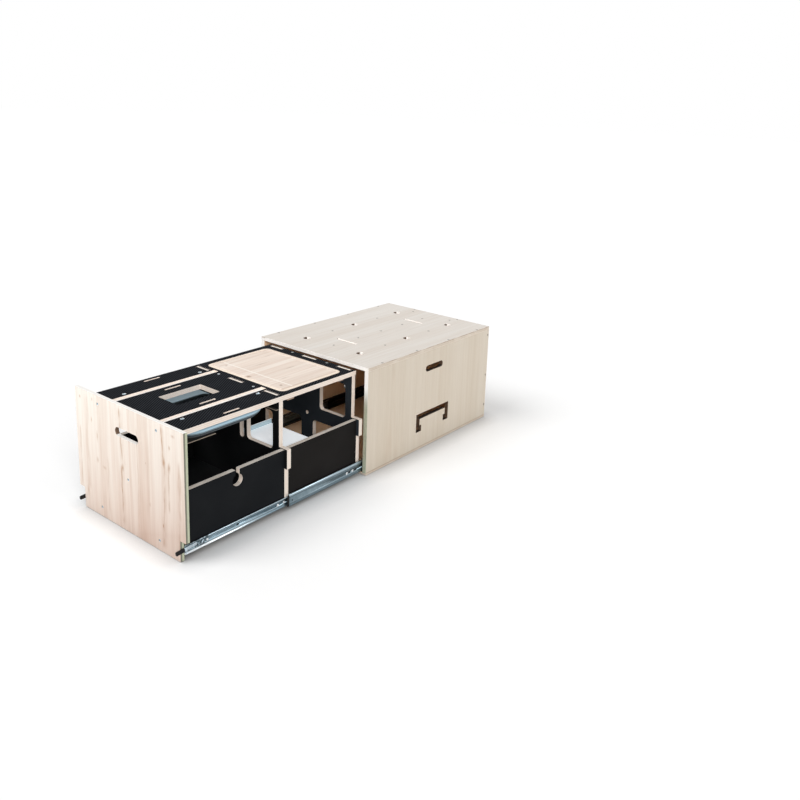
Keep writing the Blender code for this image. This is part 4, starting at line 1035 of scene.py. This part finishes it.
def oiled_staves(low, high):
    made, tree, shader = new_material("oiled_staves")
    place = board_places(tree, "cutting_board", "Y")[0]
    at = parts(place)
    random = stepped_noise(calculate("DIVIDE", plus(at["Y"], 0.4), BOARD_STAVE))
    inputs = {"Place": place, "Seed": random, "Streaks": 0.9, "Strips": 0.0, "Contrast": 1.25}
    veneer = effect(VENEER, inputs | BOARD_TONES)
    colour = tinted(veneer["Color"], grey(plus(times(random, 0.12), 0.94)))
    colour = add_flecks(place, colour, BOARD_FLECK_BROWN, BOARD_FLECKS)
    off = amount(minus(at["X"], BOARD_JOINT_Y))
    joint = rest_of(smooth_step(off, BOARD_JOINT_HALF * 0.6, BOARD_JOINT_HALF))
    joint = times(joint, below(amount(at["Y"]), BOARD_JOINT_REACH))
    colour = mix_colours(joint, colour, BOARD_JOINT)
    centre = (low + high) / 2
    half = (high - low) / 2
    from_end = minus(half.y, amount(minus(at["X"], centre.y)))
    from_side = minus(half.x, amount(minus(at["Y"], centre.x)))
    from_rim = calculate("MINIMUM", from_end, from_side)
    rim = rest_of(smooth_step(from_rim, BOARD_GROOVE_INSET - 0.001, BOARD_GROOVE_INSET))
    colour = mix_colours(times(rim, 0.8), colour, BOARD_RIM)
    coat(shader, colour=colour, relief=bump(veneer["Height"], PLANED_RELIEF, 0.4), rough=0.5, gloss=0.3)
    return made


def make_cutting_board():
    low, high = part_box("cutting_board")
    mesh = rounded_plate(low, high, BOARD_CORNER, BOARD_CORNER_STEPS)
    ends = [face_towards(mesh, Vector((0, 0, up))) for up in (1, -1)]
    round_off(mesh, list({edge for face in ends for edge in face.edges}), BOARD_EDGE_ROUND, 4)
    mesh.normal_update()
    top = face_towards(mesh, Vector((0, 0, 1)))
    bmesh.ops.inset_region(mesh, faces=[top], thickness=BOARD_GROOVE_INSET - BOARD_EDGE_ROUND)
    for depth in (-BOARD_GROOVE_DEPTH, BOARD_GROOVE_DEPTH):
        bmesh.ops.inset_region(mesh, faces=[top], thickness=BOARD_GROOVE_WIDTH / 2, depth=depth)
    wood = oiled_staves(low, high)
    new_piece("cutting_board_staves", mesh, "cutting_board", wood, "cutting_board")


make_cutting_board()


# Shelf
# A board faced with white laminate behind the mid divider, with a thin upright lip along
# its left edge. It is held between the divider and the right side board.

LAMINATE_PAINTED_LIGHT = 0.40
LAMINATE_WHITES = ((0.92, 0.96, 1.0), (0.88, 0.93, 0.97))
LIP_PAINTED_SHADE = (0.34, 0.45, 0.50)


def make_laminate():
    made, tree, shader = new_material("white_laminate")
    spot, _, facing = surface(tree)
    cloud = noise(spot, 14.0, 3.0)
    relief = bump(noise(spot, 800.0, 1.0), 0.00005, 0.4)
    # Painted shade: faces that look right are blue-grey instead of white
    colour = mix_colours(above(facing["X"], 0.5), mix_colours(cloud, *LAMINATE_WHITES), LIP_PAINTED_SHADE)
    coat(shader, colour=colour, rough=plus(times(cloud, 0.1), 0.28), relief=relief)
    # Painted light: the laminate glows, though no lamp is there
    coat(shader, glow=colour, glow_strength=LAMINATE_PAINTED_LIGHT)
    return made


ease_edges(dress("shelf", make_laminate()), CASE_EASE)


# Wash basin
# A folding basin, collapsed: a light blue moulded rim with a rolled edge over darker soft
# folds, hung in two runners under the worktop so that it draws out to the right.

BASIN_CORNER = 0.090
BASIN_CORNER_STEPS = 14
FOLD_TOP = 0.3210
FOLD_PITCH = 0.0054
FOLD_WAVER = 0.002
FOLD_GREY_AND_SHADE = ((0.17, 0.24, 0.28), (0.018, 0.020, 0.022))
RIM_WALL = 0.014
WELL_HALF = Vector((0.073, 0.125, 0.0))
WELL_CORNER = 0.026
WELL_CORNER_STEPS = 8
WELL_BEAD = 0.003
FOLD_COUNT = 3
FOLD_GAP = 0.0003
FOLD_STEP = 0.0035


def make_plastic(name, light, dark, roughness, glow=0.0, gloss=0.5):
    """Moulded plastic or soft rubber with a fine skin and slight clouds, and with a glow, painted light."""
    made, tree, shader = new_material(name)
    spot = surface(tree)[0]
    cloud = noise(spot, 18.0, 3.0)
    relief = bump(noise(spot, 1400.0, 1.0), 0.00008)
    colour = mix_colours(cloud, light, dark)
    coat(shader, colour=colour, rough=plus(times(cloud, 0.14), roughness), relief=relief, gloss=gloss)
    coat(shader, glow=colour, glow_strength=glow)
    return made


def fold_lines(material):
    """The soft skin folded under the rim: grey blue, partly painted shade, with thin dark creases of painted
    shade.
    """
    shader = material.node_tree.nodes["Principled BSDF"]
    spot, at, _ = surface(material.node_tree)
    drop = minus(FOLD_TOP, plus(at["Z"], times(noise(spot, 9.0), FOLD_WAVER)))
    crease_shade = calculate("PINGPONG", calculate("DIVIDE", drop, FOLD_PITCH), 0.5)
    skin = mix_colours(rest_of(smooth_step(crease_shade, 0.10, 0.30)), *FOLD_GREY_AND_SHADE)
    plain = shader.inputs["Base Color"].links[0].from_socket
    coat(shader, colour=mix_colours(smooth_step(drop, -0.0003, 0.0003), plain, skin))


def loop_of(mesh, low, high, corner, steps, inset, height):
    """The vertices of a rounded rectangle, inset from a box."""
    radius = max(corner - inset, 0.004)
    left, right = low.x + inset + radius, high.x - inset - radius
    near, far = low.y + inset + radius, high.y - inset - radius
    verts = []
    for start, (x, y) in enumerate(((right, far), (left, far), (left, near), (right, near))):
        for step in range(steps + 1):
            turn = (start + step / steps) * math.pi / 2
            verts.append(mesh.verts.new((x + radius * math.cos(turn), y + radius * math.sin(turn), height)))
    return verts


def swept_ring(low, high, corner, steps, profile, closed=True):
    """A ring whose section, of inset and height, follows a rounded rectangle."""
    mesh = bmesh.new()
    loops = [loop_of(mesh, low, high, corner, steps, inset, height) for inset, height in profile]
    pairs = list(zip(loops, loops[1:]))
    if closed:
        pairs.append((loops[-1], loops[0]))
    for first, second in pairs:
        for index, vert in enumerate(first):
            after = (index + 1) % len(first)
            mesh.faces.new((vert, first[after], second[after], second[index]))
    if not closed:
        mesh.faces.new(loops[0])
        mesh.faces.new(loops[-1])
    return mesh


def add_ring(name, outline, profile, material, closed=True, node=None):
    """A piece of the basin whose section follows an outline of two corners, radius and steps."""
    new_piece(name, swept_ring(*outline, profile, closed), "wash_basin", material, node)


def rim_profile(low, high):
    rise = high - low
    return [
        (0.0, high - 0.0045),
        (0.0004, high - 0.0025),
        (0.0018, high - 0.0007),
        (0.004, high),
        (0.010, high),
        (0.0125, high - 0.0012),
        (RIM_WALL, high - 0.004),
        (RIM_WALL, low + 0.003),
        (RIM_WALL - 0.002, low),
        (0.006, low),
        (0.0035, low + 0.001),
        (0.0028, low + 0.003),
        (0.0024, low + rise * 0.30),
        (0.0008, low + rise * 0.36),
        (0.0, low + rise * 0.44),
    ]


def bowl_profile(bottom, top, step):
    """The folds from the top down, then the flat bottom and the inner skin back up."""
    fold = [(0.0014, 0.0), (0.0003, 0.22), (0.0, 0.45), (0.0003, 0.66), (0.0016, 0.82), (0.0034, 0.88)]
    profile = []
    for level in range(FOLD_COUNT):
        upper = top - FOLD_GAP - level * step
        profile += [(level * FOLD_STEP + inset, upper - step * down) for inset, down in fold]
    profile += [(0.0135, bottom), (0.060, bottom), (0.060, bottom + 0.0025), (0.030, bottom + 0.0028)]
    return profile + [(0.0245, bottom + 0.0038), (0.0225, bottom + 0.006), (0.0200, top), (0.0014, top)]


def make_basin():
    blue = make_plastic("basin_blue", (0.42, 0.61, 0.72), (0.36, 0.54, 0.65), 0.32)
    fold_tones = ((0.075, 0.105, 0.125), (0.040, 0.055, 0.065))
    fold = make_plastic("basin_fold_grey", *fold_tones, 0.45, gloss=0.2)
    floor_tones = ((0.40, 0.50, 0.55), (0.32, 0.42, 0.47))
    # Painted light: the basin's floor and inner skin glow, though no lamp is there
    floor = make_plastic("basin_floor_painted_glow", *floor_tones, 0.40, glow=0.48)
    fold_lines(blue)
    seam = make_plastic("basin_seam_brown", (0.24, 0.19, 0.15), (0.16, 0.12, 0.10), 0.55)
    low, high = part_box("basin_rim")
    outline = (low, high, BASIN_CORNER, BASIN_CORNER_STEPS)
    add_ring("basin_rim_blue", outline, rim_profile(low.z, high.z), blue, node="basin_rim")
    low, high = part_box("basin_bowl")
    outline = (low, high, BASIN_CORNER - 0.006, BASIN_CORNER_STEPS)
    step = (high.z - low.z - 2 * FOLD_GAP) / FOLD_COUNT
    add_ring("basin_folds_grey", outline, bowl_profile(low.z, high.z, step), fold, node="basin_bowl")
    for level in range(1, FOLD_COUNT):
        height = high.z - FOLD_GAP - level * step
        inset = level * FOLD_STEP - 0.0012
        strip = [(inset, height + FOLD_GAP), (inset, height - FOLD_GAP)]
        strip += [(inset + 0.003, height - FOLD_GAP), (inset + 0.003, height + FOLD_GAP)]
        add_ring(f"basin_seam_{level}", outline, strip, seam)
    flat = low.z + 0.0026
    base = [(0.058, low.z + 0.0004), (0.058, flat - 0.0004), (0.0588, flat)]
    add_ring("basin_floor_sheet", outline, base, floor, closed=False)
    lip = [(0.060, 0.0), (0.028, 0.0002), (0.0255, 0.0010), (0.0245, 0.0030), (0.0235, 0.0010)]
    lip += [(0.0300, -0.0008), (0.060, -0.0008)]
    add_ring("basin_inner_skin", outline, [(inset, flat + up) for inset, up in lip], floor)
    centre = (low + high) / 2
    outline = (centre - WELL_HALF, centre + WELL_HALF, WELL_CORNER, WELL_CORNER_STEPS)
    bead = [(0.0, -0.0003), (0.0004, 0.0016), (WELL_BEAD / 2, 0.0022), (WELL_BEAD - 0.0004, 0.0016)]
    bead = [(inset, flat + up) for inset, up in bead + [(WELL_BEAD, -0.0003)]]
    add_ring("basin_well_bead", outline, bead, blue)
    # Painted shade: a black plate inside the bead stands for the shade in the deep well
    plate = [(WELL_BEAD * share, flat + up) for share, up in ((0.6, -0.0002), (0.6, 0.0003), (0.8, 0.0006))]
    add_ring("basin_well_plate", outline, plate, BLACK_PLASTIC, closed=False)


MOULDING_BLACKS = ((0.006, 0.006, 0.007), (0.010, 0.010, 0.011))
BLACK_PLASTIC = make_plastic("black_moulding", *MOULDING_BLACKS, 0.30, gloss=0.18)
make_basin()


# Telescopic slides
# Three zinc-plated steel channels a side, rolled with tracks for the balls: the outer one
# on the case, the inner one on the drawer, and the middle one between them with a bumper.

SLIDE_SHEET = 0.0012
TRACK_BEND = 0.0011
SLIDE_CENTRE_Z = 0.02955
SLIDE_FACE_X = 0.222
CREASE_DARK = (0.045, 0.060, 0.068)
# The Y over which the lower lips' painted reflection turns to painted shade, and the stretch where the
# pressed ends begin
FOOT_REFLECTION_FADE = (-0.60, -0.36)
PRESSED_END = (0.598, 0.606)
# The outer channel's zinc is painted dark brown: painted shade inside the case with a painted brown
# reflection of its wood
OUTER_WEB_SHADE_BROWN = ((0.060, 0.048, 0.038), (0.035, 0.028, 0.022))
WEB_BLUE = ((0.280, 0.364, 0.406), (0.210, 0.280, 0.322))
WEB_PALE = ((0.408, 0.528, 0.600), (0.312, 0.420, 0.480))
RIVET_ZINC = metal("rivet_zinc", (0.96, 0.98, 0.99), (0.84, 0.88, 0.90), 0.34)
RIVET_RADIUS = 0.0042
STUD_SIDES = 20
BUMPER_EASE = 0.0006
# Half of each channel's section, from its web to its lip: how far out of the drawer's side, how high
INNER_HALF = [(0.0009, 0.0), (0.0009, 0.0070), (0.0018, 0.0092), (0.0018, 0.0115), (0.0032, 0.0129)]
INNER_HALF += [(0.0046, 0.0129), (0.0056, 0.0120)]
MIDDLE_HALF = [(0.0078, 0.0), (0.0078, 0.0098), (0.0086, 0.0116), (0.0086, 0.0168), (0.0074, 0.0184)]
MIDDLE_HALF += [(0.0048, 0.0184), (0.0028, 0.0172)]
OUTER_HALF = [(0.0121, 0.0), (0.0121, 0.0130), (0.0112, 0.0150), (0.0112, 0.0205), (0.0098, 0.02215)]
OUTER_HALF += [(0.0060, 0.02215), (0.0029, 0.0205)]
# Holes in the webs: how far along, how high, half length, half height
OUTER_HOLES = [(along, SLIDE_CENTRE_Z, 0.0060, 0.0026) for along in (0.060, 0.250, 0.450, 0.640)]
MIDDLE_HOLES = [(-0.049, 0.0275, 0.0052, 0.0034), (-0.021, 0.0275, 0.0048, 0.0034)]
INNER_HOLES = [(-0.358, 0.0270, 0.0022, 0.0020)]
INNER_HOLES += [(along, SLIDE_CENTRE_Z, 0.0050, 0.0026) for along in (-0.500, -0.150)]
# Rivets and dimples of the webs: steel, how proud, and for each how far along, how high, radius
WEB_STUDS = {
    "middle_rivet": (RIVET_ZINC, 0.0004, [
        (-0.062, 0.0275, RIVET_RADIUS),
        (-0.035, 0.0275, RIVET_RADIUS),
        (0.250, SLIDE_CENTRE_Z, RIVET_RADIUS),
        (0.280, SLIDE_CENTRE_Z, RIVET_RADIUS),
    ]),
    "middle_dimple": (DARK_STEEL, 0.0003, [
        (-0.300, 0.0275, 0.0022),
        (0.150, SLIDE_CENTRE_Z, 0.003),
        (0.020, SLIDE_CENTRE_Z, 0.003),
    ]),
    "inner_rivet": (RIVET_ZINC, 0.0006, [
        (-0.327, 0.0290, RIVET_RADIUS),
        (-0.351, 0.0280, RIVET_RADIUS),
        (-0.605, 0.0280, RIVET_RADIUS),
    ]),
}


def slide_steel(name, track_from, web, tracks, foot):
    """Zinc plate, lighter towards the lips as a painted highlight, and on the lower lip a painted reflection
    of the floor that turns to painted shade towards the rear.
    """
    made, tree, shader = new_material(name)
    spot, at, _ = surface(tree)
    off = minus(at["Z"], SLIDE_CENTRE_Z)
    share = smooth_step(amount(off), track_from - 0.001, track_from + 0.001)
    lower = smooth_step(times(off, -1.0), track_from, track_from + 0.0015)
    worn = noise(spot, (300.0, 5.0, 500.0), 3.0)
    plate = effect(ZINC, {"Place": spot, "Light": web[0], "Dark": web[1], "Polish": 0.24})
    # Painted highlights on the lips, and on the lower lip a painted reflection of the floor that turns to
    # painted shade towards the rear
    colour = mix_colours(share, plate["Color"], tracks)
    behind = smooth_step(at["Y"], *FOOT_REFLECTION_FADE)
    colour = mix_colours(lower, colour, mix_colours(behind, foot, web[1]))
    # Painted shade in the creases between the lips and the web
    crease_shade = rest_of(smooth_step(amount(minus(amount(off), track_from)), 0.0005, 0.0016))
    colour = mix_colours(times(crease_shade, 0.75), colour, CREASE_DARK)
    pressed = times(smooth_step(times(at["Y"], -1.0), *PRESSED_END), rest_of(lower))
    pressed = times(pressed, smooth_step(noise(spot, (1.0, 180.0, 180.0)), 0.42, 0.56))
    colour = mix_colours(times(pressed, 0.85), colour, CREASE_DARK)
    colour = tinted(colour, grey(plus(times(worn, 0.3), 0.85)))
    coat(shader, colour=colour, rough=plate["Roughness"], relief=bump(worn, 0.00006), metal=1.0)
    return made


def rolled_channel(side, half, near, far):
    """The open surface of one channel, bent from a strip and eased at each bend."""
    mesh = bmesh.new()
    section = [(out, -up) for out, up in reversed(half[1:])] + half[1:]
    verts = [mesh.verts.new((side * (SLIDE_FACE_X + out), near, SLIDE_CENTRE_Z + up)) for out, up in section]
    edges = [mesh.edges.new(pair) for pair in zip(verts, verts[1:])]
    moved = bmesh.ops.extrude_edge_only(mesh, edges=edges)["geom"]
    ends = [item for item in moved if isinstance(item, bmesh.types.BMVert)]
    bmesh.ops.translate(mesh, verts=ends, vec=(0, far - near, 0))
    round_off(mesh, [edge for edge in mesh.edges if len(edge.link_faces) == 2], TRACK_BEND * 0.5)
    return mesh


def oval_rod(side, out, along, up, half_long, half_high):
    """A rod with an oval section that goes through a web sideways."""
    mesh = bmesh.new()
    bmesh.ops.create_cone(mesh, cap_ends=True, segments=20, radius1=1.0, radius2=1.0, depth=0.02)
    turn = Matrix.Rotation(math.radians(90), 4, "Y")
    size = Matrix.Diagonal((1.0, half_long, half_high, 1.0))
    place = Matrix.Translation((side * (SLIDE_FACE_X + out), along, up))
    bmesh.ops.transform(mesh, matrix=place @ size @ turn, verts=mesh.verts)
    return mesh


def hole_shade(side, out, along, up, half_long, half_high):
    """Painted shade: a thin dark disc behind a hole of a web."""
    mesh = oval_rod(side, out, along, up, half_long * 1.02, half_high * 1.02)
    seat = Matrix.Translation((side * (SLIDE_FACE_X + out - 0.0004), 0, 0))
    back = Matrix.Translation((-side * (SLIDE_FACE_X + out), 0, 0))
    squeeze = Matrix.Diagonal((0.02, 1.0, 1.0, 1.0))
    bmesh.ops.transform(mesh, matrix=seat @ squeeze @ back, verts=mesh.verts)
    return mesh


def add_stud(name, side, place, radius, proud, body, material, slot="slide_steel"):
    """A domed rivet head with a dimple, looking outwards from a web."""
    dome = [(0.0, 0.35), (0.35, 0.4), (0.5, 1.0), (0.8, 0.8), (1.0, 0.25)]
    profile = [(radius * out, proud * up) for out, up in dome] + [(radius, -0.0004), (0.0, -0.0004)]
    mesh = turned(profile, STUD_SIDES)
    bmesh.ops.transform(mesh, matrix=looking((side, 0, 0), place), verts=mesh.verts)
    new_piece(name, mesh, body, material)


MIDDLE_LIP_HIGHLIGHTS = ((0.36, 0.45, 0.50), (0.34, 0.42, 0.47))
INNER_LIP_HIGHLIGHTS = ((0.62, 0.76, 0.84), (0.88, 0.92, 0.94))
OUTER_STEEL = slide_steel("outer_channel_zinc", 0.0140, OUTER_WEB_SHADE_BROWN, OUTER_WEB_SHADE_BROWN[0], OUTER_WEB_SHADE_BROWN[0])
MIDDLE_STEEL = slide_steel("middle_channel_zinc", 0.0108, WEB_BLUE, *MIDDLE_LIP_HIGHLIGHTS)
INNER_STEEL = slide_steel("inner_channel_zinc", 0.0080, WEB_PALE, *INNER_LIP_HIGHLIGHTS)
for side, sign in SIDES:
    middle = f"slide_middle_{side}"
    members = {
        "outer": ("case", OUTER_HALF, OUTER_HOLES, OUTER_STEEL),
        "middle": (middle, MIDDLE_HALF, MIDDLE_HOLES, MIDDLE_STEEL),
        "inner": ("drawer", INNER_HALF, INNER_HOLES, INNER_STEEL),
    }
    for member, (body, half, holes, steel) in members.items():
        node = f"slide_{member}_{side}"
        low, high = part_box(node)
        strip = rolled_channel(sign, half, low.y, high.y)
        channel = new_piece(f"{node}_channel", strip, body, steel, node)
        wall = channel.modifiers.new("sheet", "SOLIDIFY")
        wall.thickness = SLIDE_SHEET
        wall.offset = 0.0
        wall.use_even_offset = True
        for count, hole in enumerate(holes, 1):
            carve(channel, oval_rod(sign, half[0][0], *hole))
            if member != "outer":
                painted_shading = hole_shade(sign, half[0][0], *hole)
                new_piece(f"{member}_hole_shade_{side}_{count}", painted_shading, body, BLACK_PLASTIC)
    for label, (steel, proud, places) in WEB_STUDS.items():
        body, half = members[label.split("_")[0]][:2]
        out = sign * (SLIDE_FACE_X + half[0][0] + SLIDE_SHEET / 2)
        for count, (along, up, radius) in enumerate(places, 1):
            add_stud(f"{label}_{side}_{count}", sign, (out, along, up), radius, proud, body, steel)
    for cage in ("outer", "inner"):
        dress(f"ball_cage_{cage}_{side}", DARK_STEEL)
    ease_edges(dress(f"slide_bumper_{side}", BLACK_PLASTIC), BUMPER_EASE)


# Slide locks
# Two stamped levers pivot on domed pins in the inner channels. A black sleeve is pushed
# over the front of each, and a folded tab and a wire spring sit behind the panel.

LEVER_EASE = 0.0003
SLEEVE_EASE = 0.0007
PIN_HEAD_RADIUS = 0.0044
PIN_HEAD_PROUD = 0.0004
PIN_STEM = [(0.0, 0.0), (0.0021, 0.0), (0.0022, 0.0002), (0.0022, 0.0044), (0.0, 0.0044)]
TAB_PLACE = (0.2244, -0.6720, 0.0235)
TAB_SIZE = (0.0022, 0.0040, 0.0120)
SPRING_OUT = SLIDE_FACE_X + 0.0026
SPRING_RADIUS = 0.0011
SPRING_LENGTH = 0.0125
# The visible turns of each spring: how far along, how high, lean in degrees
SPRING_TURNS = [(-0.634, 0.0280, 35), (-0.621, 0.0300, -35), (-0.609, 0.0290, 30)]
LOCK_METAL = metal("latch_zinc", (0.80, 0.90, 0.97), (0.26, 0.34, 0.39), 0.10)


def spring_turn(place, lean):
    """One turn of the wire spring: a short leaning rod with round ends."""
    rod = bmesh.new()
    size = {"radius1": SPRING_RADIUS, "radius2": SPRING_RADIUS, "depth": SPRING_LENGTH}
    bmesh.ops.create_cone(rod, cap_ends=True, segments=12, **size)
    turn = Matrix.Translation(place) @ Matrix.Rotation(math.radians(lean), 4, "X")
    bmesh.ops.transform(rod, matrix=turn, verts=rod.verts)
    caps = [edge for edge in rod.edges if max(len(edge.link_faces[end].verts) for end in (0, -1)) > 4]
    round_off(rod, caps, 0.0005)
    return rod


def make_lock(side, sign):
    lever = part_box(f"lock_lever_{side}")
    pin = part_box(f"lock_pin_{side}")
    pivot = (pin[0] + pin[1]) / 2
    ease_edges(dress(f"lock_lever_{side}", LOCK_METAL), LEVER_EASE)
    ease_edges(dress(f"lock_sleeve_{side}", BLACK_PLASTIC), SLEEVE_EASE, 3)
    place = (sign * max(abs(corner.x) for corner in lever), pivot.y, pivot.z)
    head = (place, PIN_HEAD_RADIUS, PIN_HEAD_PROUD)
    add_stud(f"lock_pin_{side}_head", sign, *head, "drawer", LOCK_METAL, "lever_steel")
    stem = turned(PIN_STEM, STUD_SIDES)
    place = (sign * min(abs(corner.x) for corner in pin), pivot.y, pivot.z)
    bmesh.ops.transform(stem, matrix=looking((sign, 0, 0), place), verts=stem.verts)
    new_piece(f"lock_pin_{side}_stem", stem, "drawer", LOCK_METAL, f"lock_pin_{side}")
    tab = block((sign * TAB_PLACE[0], *TAB_PLACE[1:]), TAB_SIZE, LEVER_EASE)
    new_piece(f"lock_tab_{side}", tab, "drawer", LOCK_METAL)
    for count, (along, up, lean) in enumerate(SPRING_TURNS, 1):
        rod = spring_turn((sign * SPRING_OUT, along, up), lean)
        new_piece(f"lock_spring_{side}_{count}", rod, "drawer", LOCK_METAL)


for side, sign in SIDES:
    make_lock(side, sign)
